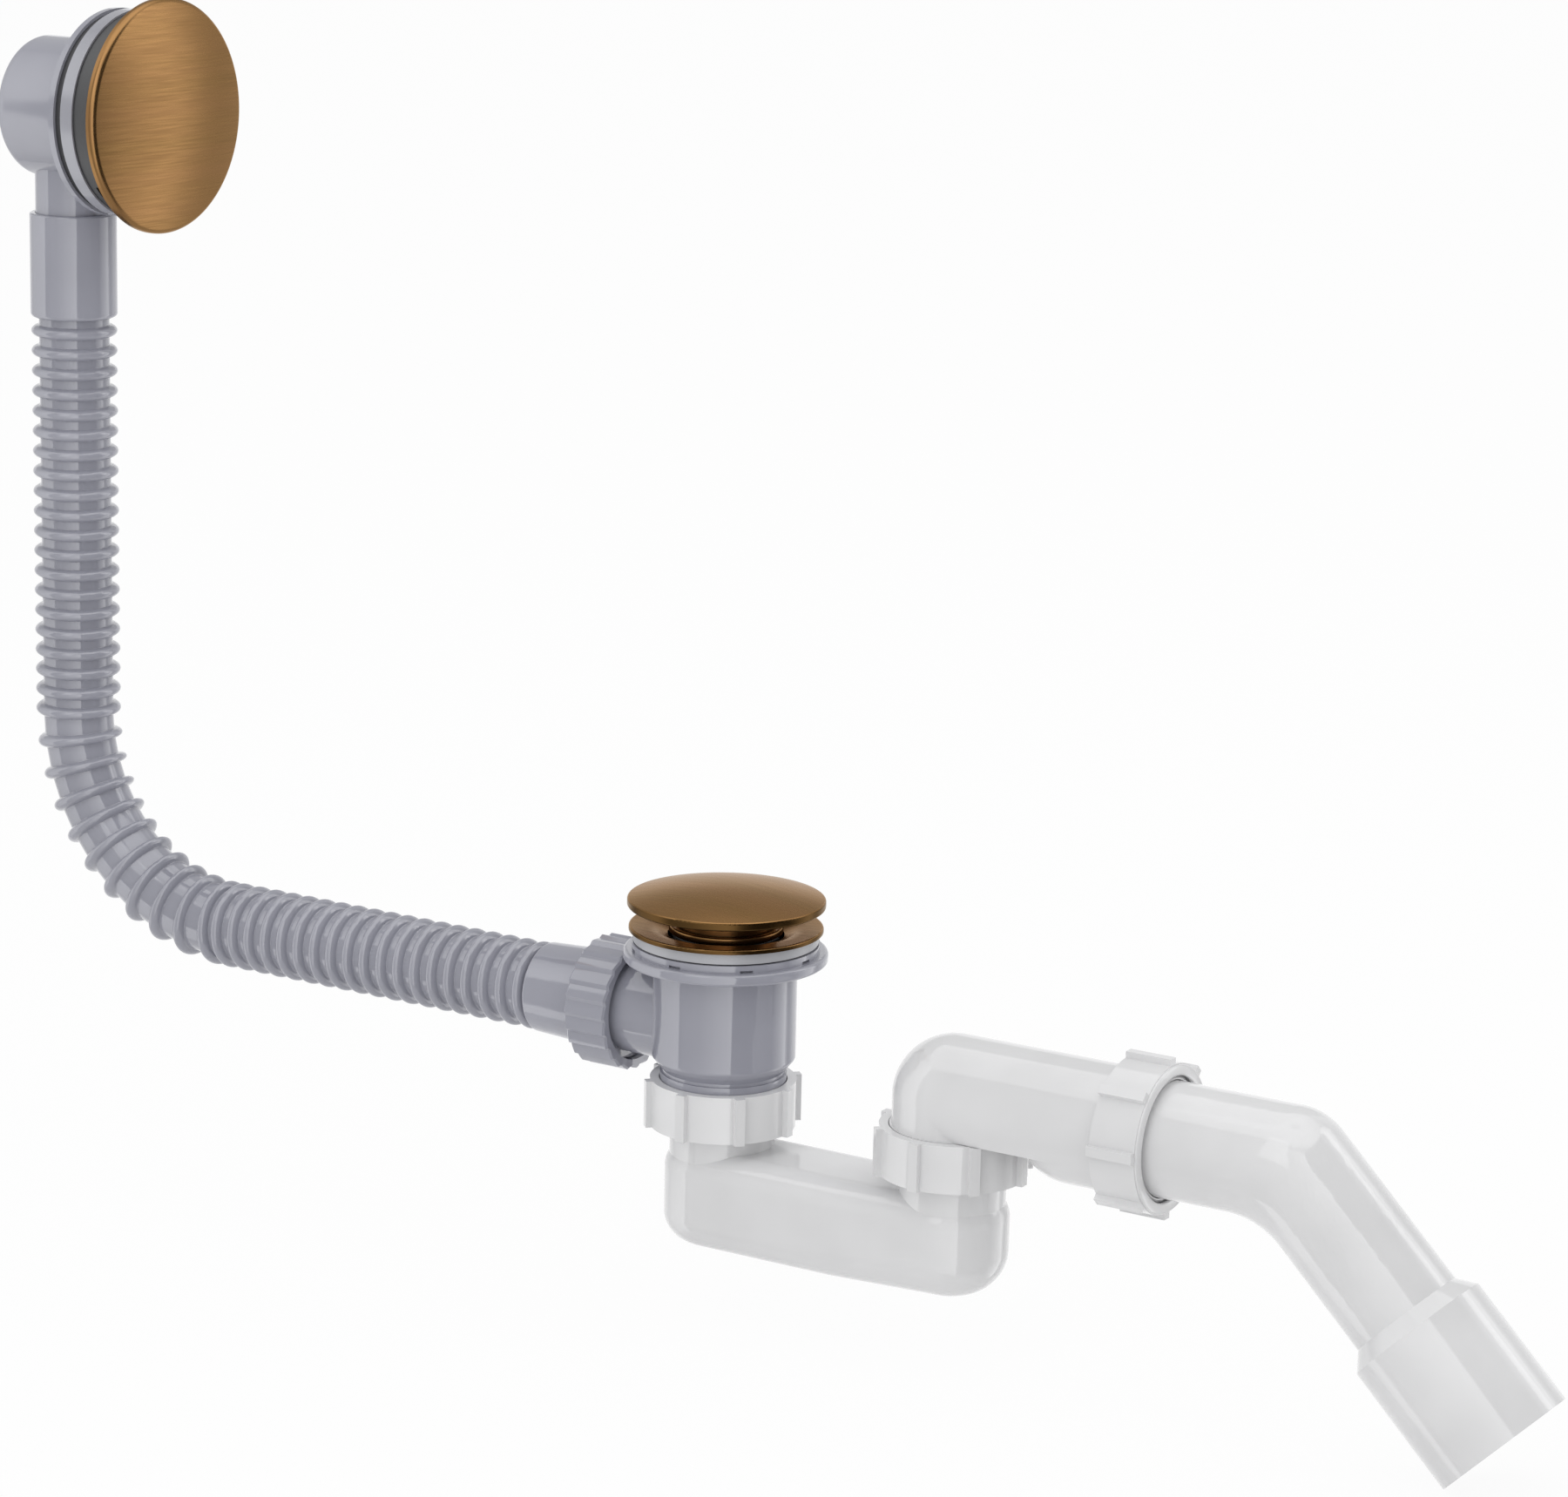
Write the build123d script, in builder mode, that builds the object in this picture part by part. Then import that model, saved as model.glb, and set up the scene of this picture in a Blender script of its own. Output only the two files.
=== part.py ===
from build123d import *
from math import cos, pi, radians, sin, tan
import os

# Bath waste and overflow: click-clack plug, overflow with a ribbed hose, low trap and 45 degree outlet.
# Millimetres, +Z up. The origin is on the waste's axis, where the metal flange seats on the bath.
# The hose leaves towards -X, the trap and the outlet run towards +X, and everything is centred on Y = 0.

os.makedirs("parts", exist_ok=True)

# Clearances
thread_gap = 0.3
slide_gap = 0.2
running_gap = 0.05
push_gap = 0.2
seat_gap = 0.3

# Waste flange and its seals
bath_hole_diameter = 52.0
flange_diameter = 68.7
flange_rim = 1.6
flange_plate = 1.0
flange_dish = 2.6
throat_wall = 1.8
throat_depth = 17.0
plug_seat_depth = 10.4
plug_seat_width = 2.6
strainer_height = 4.5
strainer_spokes = 4
spoke_width = 3.6
hub_wall = 2.6
gasket_diameter = 65.4
gasket_thickness = 3.9
seal_diameter = 64.4
seal_thickness = 0.5

# Waste body
ring_ledge = 3.0
ring_height = 2.6
window_count = 8
window_width = 4.6
window_height = 0.9
window_depth = 1.4
body_flange_diameter = 72.4
body_flange_thickness = 4.2
body_flange_round = 1.4
cup_diameter = 51.0
cup_wall = 2.8
cup_length = 35.0
shoulder_height = 4.4
neck_groove = 0.7
neck_groove_height = 1.2
neck_diameter = 45.0
neck_wall = 3.4
neck_length = 11.6
branch_drop = 34.1
branch_stub = 0.5
branch_diameter = 34.0
branch_thread_diameter = 38.8
branch_thread_length = 7.7
branch_bore = 22.0

# Click mechanism and plug
stem_diameter = 7.0
stem_tail_diameter = 4.2
piston_diameter = 11.4
piston_height = 4.0
rotor_height = 2.8
rotor_teeth = 4
rotor_tooth_height = 1.6
housing_wall = 1.6
housing_guide = 5.5
housing_head = 2.0
housing_head_rim = 1.5
chamber_length = 24.0
cap_thickness = 2.0
cap_spigot = 2.0
spring_wire = 1.0
spring_coil_diameter = 9.0
spring_turns = 5
plug_travel = 6.5
plug_diameter = 70.0
plug_rim = 2.9
plug_rise = 4.8
plug_underside = 1.4
collar_diameter = 35.0
collar_wall = 3.5
bead_height = 2.1
bead_gap = 1.6
bead_level = 1.3
plug_seal_height = 2.4
plug_seal_section = 3.2
collar_lip = 1.2
boss_wall = 3.4

# Lugged nuts of the trap and the outlet
nut_length = 17.0
nut_wall = 3.2
outlet_nut_wall = 2.2
nut_lip = 3.1
lug_count = 8
lug_width = 3.6
lug_height = 2.2
washer_thickness = 2.2
collar_thickness = 2.2

# Trap
trap_span = 94.4
trap_width = 40.6
trap_height = 36.5
trap_wall = 2.4
trap_top_round = 9.0
trap_inlet_round = 11.0
trap_outlet_round = 16.0
socket_diameter = 37.4
socket_wall = 2.4
deck_drop = 6.7

# Outlet elbow and bend
elbow_diameter = 43.6
elbow_wall = 2.8
elbow_thread_diameter = 47.0
elbow_thread_start = 1.5
elbow_rise = 10.0
belly_reach = 48.6
outlet_nut_reach = 66.1
outlet_lip = 2.4
outlet_lip_gap = 2.7
cone_washer_rim = 4.0
cone_washer_nose = 0.8
cone_washer_recess = 0.4
pipe_diameter = 40.0
pipe_wall = 2.0
pipe_insertion = 22.0
bend_reach = 128.9
bend_angle = 45.0
bend_outer_round = 20.0
bend_inner_round = 30.0
leg_length = 61.4
end_diameter = 50.0
end_chamfer = 5.8
end_length = 46.5

# Overflow
overflow_reach = 292.8
overflow_height = 266.9
overflow_diameter = 52.0
overflow_wall = 2.6
overflow_depth = 36.3
overflow_back_round = 5.0
overflow_flange_diameter = 76.0
overflow_flange_thickness = 2.5
overflow_behind = 15.8
overflow_gasket_thickness = 3.2
overflow_gasket_inset = 1.2
front_ring_thickness = 5.3
web_thickness = 3.0
web_spokes = 3
web_spoke_width = 6.0
web_hub_diameter = 16.0
screw_diameter = 6.0
screw_head_diameter = 11.0
screw_head_height = 4.0
screw_length = 24.0
socket_key = 4.0
screw_boss_wall = 2.6
carrier_diameter = 74.6
carrier_length = 11.3
carrier_wall = 3.0
carrier_slots = 3
carrier_slot_width = 12.0
carrier_slot_length = 5.0
rosette_diameter = 85.8
rosette_setback = 10.3
rosette_rim = 3.7
rosette_step = 1.3
rosette_groove = 0.6
rosette_rise = 4.0
rosette_wall = 1.6
rosette_skirt = 1.8
rosette_skirt_length = 6.0

# Overflow hose, its cuffs and its nut
hose_diameter = 26.2
hose_bore = 22.8
spigot_diameter = 27.8
rib_diameter = 32.0
rib_foot = 3.4
rib_crest = 1.8
rib_pitch = 7.6
upper_rib_lead = 5.2
lower_rib_lead = 3.6
hose_bend_radius = 72.8
bend_rib_pitch = 11.25
upper_cuff_diameter = 32.3
upper_cuff_length = 38.9
upper_cuff_drop = 77.6
upper_cuff_round = 1.6
cuff_overlap = 17.0
lower_cuff_length = 23.0
lower_cuff_diameter = 32.8
lower_cuff_shoulder = 35.0
lower_cuff_round = 1.0
hose_collar_thickness = 2.0
hose_nut_reach = 36.0
hose_nut_length = 17.0
hose_nut_diameter = 47.0
hose_nut_lip = 2.5
flute_count = 18
flute_depth = 1.1
flute_share = 0.82

# Levels of the waste, from the bath down
ring_top = -gasket_thickness - seal_thickness
body_flange_top = ring_top - ring_height
body_flange_bottom = body_flange_top - body_flange_thickness
cup_bottom = body_flange_bottom - cup_length
shoulder_bottom = cup_bottom - shoulder_height
neck_top = shoulder_bottom - neck_groove_height
neck_end = neck_top - neck_length
collar_top = neck_end - washer_thickness - slide_gap
collar_bottom = collar_top - collar_thickness
nut_bottom = collar_bottom - slide_gap - nut_lip
nut_top = nut_bottom + nut_length
trap_deck = nut_bottom - deck_drop
trap_bottom = trap_deck - trap_height
elbow_underside = nut_top + slide_gap
elbow_level = elbow_underside + elbow_rise

# Radii that fit into one another
ring_radius = body_flange_diameter / 2 - ring_ledge
cup_radius = cup_diameter / 2
cup_inner = cup_radius - cup_wall
throat_outer = cup_inner - thread_gap
throat_inner = throat_outer - throat_wall
plug_seat = throat_inner - plug_seat_width
bead_radius = throat_inner - bead_gap
collar_radius = collar_diameter / 2
stem_radius = stem_diameter / 2
chamber_radius = piston_diameter / 2 + thread_gap
housing_radius = chamber_radius + housing_wall
hub_inner = housing_radius + push_gap
hub_outer = hub_inner + hub_wall
neck_radius = neck_diameter / 2
neck_inner = neck_radius - neck_wall
nut_bore = neck_diameter + 2 * thread_gap
socket_radius = socket_diameter / 2
elbow_radius = elbow_diameter / 2
elbow_inner = elbow_radius - elbow_wall
pipe_radius = pipe_diameter / 2
hose_radius = hose_diameter / 2
cuff_inner = hose_radius + push_gap
spigot_radius = spigot_diameter / 2
branch_axis = Axis((0, 0, -branch_drop), (1, 0, 0))
overflow_axis = Axis((0, 0, overflow_height), (1, 0, 0))
elbow_axis = Axis((0, 0, elbow_level), (1, 0, 0))


def outline(points, rounds=(), plane=Plane.XZ):
    """Closed section through the corners; rounds pairs a corner's place in the list with its radius."""
    with BuildSketch(plane) as section:
        with BuildLine():
            Polyline(*points, close=True)
        make_face()
        for corner, radius in rounds:
            fillet(section.vertices().sort_by_distance(points[corner])[0], radius)
    return section.sketch


def across(origin):
    """Plane across the X axis, facing +X."""
    return Plane(origin, x_dir=(0, 1, 0), z_dir=(1, 0, 0))


def about_overflow(points):
    """Places (x, radius) pairs in the XZ plane above the overflow's axis."""
    return [(x, overflow_height + radius) for x, radius in points]


def about_branch(points):
    """Places (x, radius) pairs in the XZ plane above the side branch's axis."""
    return [(x, -branch_drop + radius) for x, radius in points]


def washer(outer, inner, bottom, thickness, centre=0.0):
    """Flat round washer on a vertical axis."""
    with BuildPart() as ring:
        with BuildSketch(Plane((centre, 0, bottom))):
            Circle(outer)
            Circle(inner, mode=Mode.SUBTRACT)
        extrude(amount=thickness)
    return ring


def lugged_nut(seat, bore, wall, lip, lip_bore):
    """Nut with lugs; its lip lies on the seat plane and its open end faces along the plane's normal."""
    wall_radius = bore / 2 + wall
    with BuildPart() as nut:
        with BuildSketch(seat):
            Circle(wall_radius)
            with PolarLocations(wall_radius, lug_count):
                Rectangle(2 * lug_height, lug_width)
        extrude(amount=nut_length)
        with BuildSketch(seat.offset(lip)):
            Circle(bore / 2)
        extrude(amount=nut_length - lip, mode=Mode.SUBTRACT)
        with BuildSketch(seat):
            Circle(lip_bore / 2)
        extrude(amount=lip, mode=Mode.SUBTRACT)
    return nut


# Metal flange: a dished rim, a threaded throat with the plug's seat, and a strainer cross with its hub
seat_level = -plug_seat_depth
with BuildPart() as bath_flange:
    flange_edge = flange_diameter / 2
    hole_edge = bath_hole_diameter / 2
    flange_points = [
        (flange_edge, 0),
        (flange_edge, flange_rim),
        (hole_edge, flange_plate),
        (throat_inner, flange_plate - flange_dish),
        (throat_inner, seat_level),
        (plug_seat, seat_level),
        (plug_seat, -throat_depth),
        (throat_outer, -throat_depth),
        (throat_outer, -flange_dish),
        (hole_edge, 0),
    ]
    revolve(outline(flange_points, rounds=[(1, flange_rim / 2)]), axis=Axis.Z)
    with BuildSketch(Plane.XY.offset(-throat_depth)):
        Circle(hub_outer)
        with PolarLocations(plug_seat / 2, strainer_spokes):
            Rectangle(plug_seat + throat_wall, spoke_width)
        Circle(hub_inner, mode=Mode.SUBTRACT)
    extrude(amount=strainer_height)
bath_flange.part.label = "bath_flange"
export_step(bath_flange.part, "parts/bath_flange.step")

flange_gasket = washer(gasket_diameter / 2, hole_edge, -gasket_thickness, gasket_thickness)
flange_gasket.part.label = "flange_gasket"
export_step(flange_gasket.part, "parts/flange_gasket.step")

bath_seal = washer(seal_diameter / 2, hole_edge, ring_top, seal_thickness)
bath_seal.part.label = "bath_seal"
export_step(bath_seal.part, "parts/bath_seal.step")

# Waste body: cup with a windowed ring and a flange above, a threaded neck below and a stub for the side branch
branch_seam = -cup_radius - branch_stub
with BuildPart() as waste_body:
    shell_points = [
        (0, ring_top),
        (ring_radius, ring_top),
        (ring_radius, body_flange_top),
        (body_flange_diameter / 2, body_flange_top),
        (body_flange_diameter / 2, body_flange_bottom),
        (cup_radius, body_flange_bottom),
        (cup_radius, cup_bottom),
        (neck_radius - neck_groove, shoulder_bottom),
        (neck_radius - neck_groove, neck_top),
        (neck_radius, neck_top),
        (neck_radius, neck_end),
        (0, neck_end),
    ]
    shell_rounds = [(corner, body_flange_round) for corner in (3, 4, 5)] + [(6, shoulder_height / 2)]
    revolve(outline(shell_points, rounds=shell_rounds), axis=Axis.Z)
    with BuildSketch(across((branch_seam, 0, -branch_drop))):
        Circle(branch_diameter / 2)
    extrude(amount=-branch_seam)
    hollow_points = [
        (0, ring_top),
        (cup_inner, ring_top),
        (cup_inner, cup_bottom),
        (neck_inner, shoulder_bottom),
        (neck_inner, neck_end),
        (0, neck_end),
    ]
    revolve(outline(hollow_points), axis=Axis.Z, mode=Mode.SUBTRACT)
    with BuildSketch(across((branch_seam, 0, -branch_drop))):
        Circle(branch_bore / 2)
    extrude(amount=-branch_seam - neck_inner / 2, mode=Mode.SUBTRACT)
    with BuildSketch(Plane.XY.offset(body_flange_top)):
        with PolarLocations(ring_radius, window_count):
            Rectangle(2 * window_depth, window_width)
    extrude(amount=window_height, mode=Mode.SUBTRACT)
waste_body.part.label = "waste_body"
export_step(waste_body.part, "parts/waste_body.step")

# Side branch: a threaded tube welded to the stub on the cup
branch_end = -hose_nut_reach - hose_nut_length + hose_nut_lip + hose_collar_thickness + washer_thickness
branch_neck_end = branch_end + branch_thread_length
with BuildPart() as waste_branch:
    branch_points = [
        (branch_seam, branch_bore / 2),
        (branch_seam, branch_diameter / 2),
        (branch_neck_end, branch_diameter / 2),
        (branch_neck_end, branch_thread_diameter / 2),
        (branch_end, branch_thread_diameter / 2),
        (branch_end, branch_bore / 2),
    ]
    revolve(outline(about_branch(branch_points)), axis=branch_axis)
waste_branch.part.label = "waste_branch"
export_step(waste_branch.part, "parts/waste_branch.step")

# Click mechanism: a sleeve in the strainer's hub, closed by a screwed cap, with a sprung plunger in it
hub_top = -throat_depth + strainer_height
head_top = hub_top + housing_head
chamber_top = head_top - housing_guide
chamber_bottom = chamber_top - chamber_length
guide_radius = stem_radius + running_gap
with BuildPart() as click_housing:
    housing_points = [
        (guide_radius, head_top),
        (housing_radius + housing_head_rim, head_top),
        (housing_radius + housing_head_rim, hub_top),
        (housing_radius, hub_top),
        (housing_radius, chamber_bottom),
        (chamber_radius, chamber_bottom),
        (chamber_radius, chamber_top),
        (guide_radius, chamber_top),
    ]
    revolve(outline(housing_points), axis=Axis.Z)
click_housing.part.label = "click_housing"
export_step(click_housing.part, "parts/click_housing.step")

with BuildPart() as click_cap:
    cap_points = [
        (0, chamber_bottom - cap_thickness),
        (housing_radius, chamber_bottom - cap_thickness),
        (housing_radius, chamber_bottom),
        (chamber_radius - push_gap, chamber_bottom),
        (chamber_radius - push_gap, chamber_bottom + cap_spigot),
        (0, chamber_bottom + cap_spigot),
    ]
    revolve(outline(cap_points), axis=Axis.Z)
click_cap.part.label = "click_cap"
export_step(click_cap.part, "parts/click_cap.step")

# Plug: a turned dome whose collar carries a bead and the seal, screwed onto the plunger's stem
piston_top = chamber_top - seat_gap
piston_bottom = piston_top - piston_height
rotor_bottom = piston_bottom - rotor_height
tail_end = rotor_bottom - rotor_tooth_height
dome_bottom = flange_rim + plug_travel + seat_gap
dome_edge = dome_bottom + plug_rim
collar_root = dome_bottom + plug_underside
bead_top = bead_level
bead_bottom = bead_top - bead_height
seal_bottom = bead_bottom - plug_seal_height
lip_bottom = seal_bottom - collar_lip
seal_inner = bead_radius - plug_seal_section
boss_radius = stem_radius + boss_wall
plug_radius = plug_diameter / 2
with BuildPart() as plug_dome:
    with BuildSketch(Plane.XZ) as dome_section:
        with BuildLine():
            TangentArc((0, dome_edge + plug_rise), (plug_radius, dome_edge), tangent=(1, 0))
            Polyline(
                (plug_radius, dome_edge),
                (plug_radius, dome_bottom),
                (flange_edge - flange_rim, dome_bottom),
                (collar_radius, collar_root),
                (collar_radius, bead_top),
                (bead_radius, bead_top),
                (bead_radius, bead_bottom),
                (seal_inner, bead_bottom),
                (seal_inner, seal_bottom),
                (collar_radius, seal_bottom),
                (collar_radius, lip_bottom),
                (collar_radius - collar_wall, lip_bottom),
                (collar_radius - collar_wall, collar_root),
                (boss_radius, collar_root),
                (boss_radius, bead_bottom),
                (stem_radius + push_gap, bead_bottom),
                (stem_radius + push_gap, dome_edge),
                (0, dome_edge),
                (0, dome_edge + plug_rise),
            )
        make_face()
        rim_corners = [(plug_radius, dome_edge), (plug_radius, dome_bottom)]
        for corner in rim_corners:
            fillet(dome_section.vertices().sort_by_distance(corner)[0], plug_rim * 0.3)
    revolve(axis=Axis.Z)
plug_dome.part.label = "plug_dome"
export_step(plug_dome.part, "parts/plug_dome.step")

with BuildPart() as plug_seal:
    ring_points = [
        (seal_inner + push_gap, seal_bottom),
        (bead_radius, seal_bottom),
        (bead_radius, bead_bottom),
        (seal_inner + push_gap, bead_bottom),
    ]
    seal_round = plug_seal_height * 0.35
    revolve(outline(ring_points, rounds=[(1, seal_round), (2, seal_round)]), axis=Axis.Z)
plug_seal.part.label = "plug_seal"
export_step(plug_seal.part, "parts/plug_seal.step")

with BuildPart() as plug_stem:
    stem_points = [
        (0, dome_edge),
        (stem_radius, dome_edge),
        (stem_radius, piston_top),
        (piston_diameter / 2, piston_top),
        (piston_diameter / 2, piston_bottom),
        (stem_tail_diameter / 2, piston_bottom),
        (stem_tail_diameter / 2, tail_end),
        (0, tail_end),
    ]
    revolve(outline(stem_points), axis=Axis.Z)
plug_stem.part.label = "plug_stem"
export_step(plug_stem.part, "parts/plug_stem.step")

with BuildPart() as index_rotor:
    rotor_inner = stem_tail_diameter / 2 + push_gap
    with BuildSketch(Plane.XY.offset(rotor_bottom)):
        Circle(piston_diameter / 2)
        Circle(rotor_inner, mode=Mode.SUBTRACT)
    extrude(amount=rotor_height)
    tooth_width = piston_diameter / 2 - rotor_inner
    with BuildSketch(Plane.XY.offset(rotor_bottom + rotor_height - rotor_tooth_height)):
        with PolarLocations(piston_diameter / 2, rotor_teeth):
            Rectangle(tooth_width, tooth_width)
    extrude(amount=rotor_tooth_height, mode=Mode.SUBTRACT)
index_rotor.part.label = "index_rotor"
export_step(index_rotor.part, "parts/index_rotor.step")

with BuildPart() as click_spring:
    spring_bottom = chamber_bottom + cap_spigot + spring_wire / 2
    spring_height = rotor_bottom - spring_bottom - spring_wire / 2
    coil_radius = spring_coil_diameter / 2
    coil_pitch = spring_height / spring_turns
    coil = Helix(coil_pitch, spring_height, coil_radius, center=(0, 0, spring_bottom))
    with BuildSketch(Plane(coil @ 0, z_dir=coil % 0)):
        Rectangle(spring_wire, spring_wire)
    sweep(path=coil, is_frenet=True)
click_spring.part.label = "click_spring"
export_step(click_spring.part, "parts/click_spring.step")

# Overflow body: a cup with a flange to the bath wall, a screw boss and a spigot down to the hose
body_front = -overflow_reach + overflow_depth - overflow_behind + overflow_flange_thickness
flange_back = body_front - overflow_flange_thickness
body_back = flange_back - overflow_depth
overflow_radius = overflow_diameter / 2
overflow_inner = overflow_radius - overflow_wall
web_hub = web_hub_diameter / 2
gasket_front = body_front + overflow_gasket_thickness
ring_front = gasket_front + front_ring_thickness
screw_seat = ring_front + web_thickness
screw_hole = screw_diameter / 2 + running_gap
upper_cuff_level = overflow_height - upper_cuff_drop
spigot_end = upper_cuff_level + cuff_overlap + push_gap
with BuildPart() as overflow_body:
    can_points = [
        (body_back, 0),
        (body_back, overflow_radius),
        (flange_back, overflow_radius),
        (flange_back, overflow_flange_diameter / 2),
        (body_front, overflow_flange_diameter / 2),
        (body_front, 0),
    ]
    can_rounds = [(1, overflow_back_round), (2, overflow_flange_thickness)]
    revolve(outline(about_overflow(can_points), rounds=can_rounds), axis=overflow_axis)
    with BuildSketch(Plane((-overflow_reach, 0, spigot_end))):
        Circle(spigot_radius)
    extrude(amount=overflow_height - spigot_end)
    floor = body_back + overflow_wall
    boss_front = body_front - web_thickness
    cavity_points = [
        (floor, screw_hole + screw_boss_wall),
        (floor, overflow_inner),
        (body_front, overflow_inner),
        (body_front, 0),
        (boss_front, 0),
        (boss_front, screw_hole + screw_boss_wall),
    ]
    cavity = outline(about_overflow(cavity_points), rounds=[(1, overflow_back_round - overflow_wall)])
    revolve(cavity, axis=overflow_axis, mode=Mode.SUBTRACT)
    with BuildSketch(across((floor, 0, overflow_height))):
        Circle(screw_hole)
    extrude(amount=boss_front - floor, mode=Mode.SUBTRACT)
    with BuildSketch(Plane((-overflow_reach, 0, spigot_end))):
        Circle(hose_bore / 2)
    extrude(amount=overflow_height - overflow_inner / 2 - spigot_end, mode=Mode.SUBTRACT)
overflow_body.part.label = "overflow_body"
export_step(overflow_body.part, "parts/overflow_body.step")

overflow_rim = overflow_flange_diameter / 2
with BuildPart() as overflow_gasket:
    with BuildSketch(across((body_front, 0, overflow_height))):
        Circle(overflow_rim - overflow_gasket_inset)
        Circle(overflow_inner, mode=Mode.SUBTRACT)
    extrude(amount=overflow_gasket_thickness)
overflow_gasket.part.label = "overflow_gasket"
export_step(overflow_gasket.part, "parts/overflow_gasket.step")

# Front ring, its web clamped by one screw; the carrier for the cover sits on it under the screw's head
with BuildPart() as overflow_front_ring:
    with BuildSketch(across((gasket_front, 0, overflow_height))):
        Circle(overflow_rim)
        Circle(overflow_inner, mode=Mode.SUBTRACT)
    extrude(amount=front_ring_thickness)
    with BuildSketch(across((ring_front - web_thickness, 0, overflow_height))):
        Circle(web_hub)
        with PolarLocations(overflow_inner / 2, web_spokes, start_angle=90):
            Rectangle(overflow_inner + overflow_wall, web_spoke_width)
        Circle(screw_hole, mode=Mode.SUBTRACT)
    extrude(amount=web_thickness)
overflow_front_ring.part.label = "overflow_front_ring"
export_step(overflow_front_ring.part, "parts/overflow_front_ring.step")

with BuildPart() as overflow_screw:
    screw_points = [
        (screw_seat - screw_length, 0),
        (screw_seat - screw_length, screw_diameter / 2),
        (screw_seat, screw_diameter / 2),
        (screw_seat, screw_head_diameter / 2),
        (screw_seat + screw_head_height, screw_head_diameter / 2),
        (screw_seat + screw_head_height, 0),
    ]
    revolve(outline(about_overflow(screw_points)), axis=overflow_axis)
    with BuildSketch(across((screw_seat + screw_head_height / 3, 0, overflow_height))):
        RegularPolygon(socket_key / 2, 6, major_radius=False)
    extrude(amount=screw_head_height, mode=Mode.SUBTRACT)
overflow_screw.part.label = "overflow_screw"
export_step(overflow_screw.part, "parts/overflow_screw.step")

carrier_inner = carrier_diameter / 2 - carrier_wall
with BuildPart() as rosette_carrier:
    with BuildSketch(across((ring_front, 0, overflow_height))):
        Circle(carrier_diameter / 2)
        Circle(carrier_inner, mode=Mode.SUBTRACT)
    extrude(amount=carrier_length)
    with BuildSketch(across((ring_front, 0, overflow_height))):
        Circle(web_hub)
        with PolarLocations(carrier_inner / 2, web_spokes, start_angle=90):
            Rectangle(carrier_inner + carrier_wall, web_spoke_width)
        Circle(screw_hole, mode=Mode.SUBTRACT)
    extrude(amount=web_thickness)
    slot_step = 2 * carrier_slot_width / carrier_inner
    for index in range(carrier_slots):
        slot_angle = (index - (carrier_slots - 1) / 2) * slot_step
        slot_facing = (0, sin(slot_angle), -cos(slot_angle))
        slot_centre = (ring_front + web_thickness + carrier_slot_length / 2, 0, overflow_height)
        slot_plane = Plane(slot_centre, x_dir=(1, 0, 0), z_dir=slot_facing)
        with BuildSketch(slot_plane.offset(carrier_inner - carrier_wall)):
            Rectangle(carrier_slot_length, carrier_slot_width)
        extrude(amount=3 * carrier_wall, mode=Mode.SUBTRACT)
rosette_carrier.part.label = "rosette_carrier"
export_step(rosette_carrier.part, "parts/rosette_carrier.step")

# Cover: a shell with a rolled rim, a fine groove and a low dome, and a skirt that clips into the carrier
rim_back = ring_front + rosette_setback
rim_front = rim_back + rosette_rim
rosette_radius = rosette_diameter / 2
face_radius = rosette_radius - rosette_step - rosette_groove
face_back = rim_front - rosette_wall
skirt_outer = carrier_inner - push_gap
with BuildPart() as overflow_rosette:
    with BuildSketch(Plane.XZ) as cover_section:
        with BuildLine():
            Polyline(
                *about_overflow(
                    [
                        (rim_front + rosette_rise, 0),
                        (rim_front + rosette_rise - rosette_wall, 0),
                        (face_back, skirt_outer - rosette_skirt),
                        (face_back - rosette_skirt_length, skirt_outer - rosette_skirt),
                        (face_back - rosette_skirt_length, skirt_outer),
                        (face_back, skirt_outer),
                        (face_back, rosette_radius - rosette_wall),
                        (rim_back, rosette_radius - rosette_wall),
                        (rim_back, rosette_radius),
                        (rim_front, rosette_radius),
                        (rim_front, rosette_radius - rosette_step),
                        (rim_front - rosette_groove, rosette_radius - rosette_step),
                        (rim_front - rosette_groove, face_radius),
                        (rim_front, face_radius),
                    ]
                )
            )
            cover_top = (rim_front + rosette_rise, overflow_height)
            TangentArc(cover_top, (rim_front, overflow_height + face_radius), tangent=(0, 1))
        make_face()
        for level, radius in [(rim_back, rosette_wall * 0.6), (rim_front, rosette_step)]:
            rim_corner = (level, overflow_height + rosette_radius)
            fillet(cover_section.vertices().sort_by_distance(rim_corner)[0], radius * 0.9)
    revolve(axis=overflow_axis)
overflow_rosette.part.label = "overflow_rosette"
export_step(overflow_rosette.part, "parts/overflow_rosette.step")

# Hose: plain tube with separate tapered ribs, down from the overflow, round a bend and along to the waste
hose_axis = Axis((-overflow_reach, 0, 0), (0, 0, 1))
hose_top = upper_cuff_level + cuff_overlap
hose_inner = hose_bore / 2
bend_x = -overflow_reach + hose_bend_radius
bend_z = -branch_drop + hose_bend_radius
nut_left = -hose_nut_reach - hose_nut_length
cuff_left = nut_left - lower_cuff_length
hose_end = cuff_left + cuff_overlap
first_drop_rib = upper_cuff_level - upper_rib_lead
first_run_rib = cuff_left - lower_rib_lead
drop_rib_count = int((first_drop_rib - bend_z) / rib_pitch)
run_rib_count = int((first_run_rib - bend_x - rib_foot / 2) / rib_pitch) + 1
first_ring = first_drop_rib - drop_rib_count * rib_pitch
ring_room = first_ring - bend_z + hose_bend_radius * pi / 2
ring_count = int(ring_room / bend_rib_pitch) + 1
rib_section = [
    (-rib_foot / 2, hose_radius),
    (-rib_crest / 2, rib_diameter / 2),
    (rib_crest / 2, rib_diameter / 2),
    (rib_foot / 2, hose_radius),
]
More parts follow.
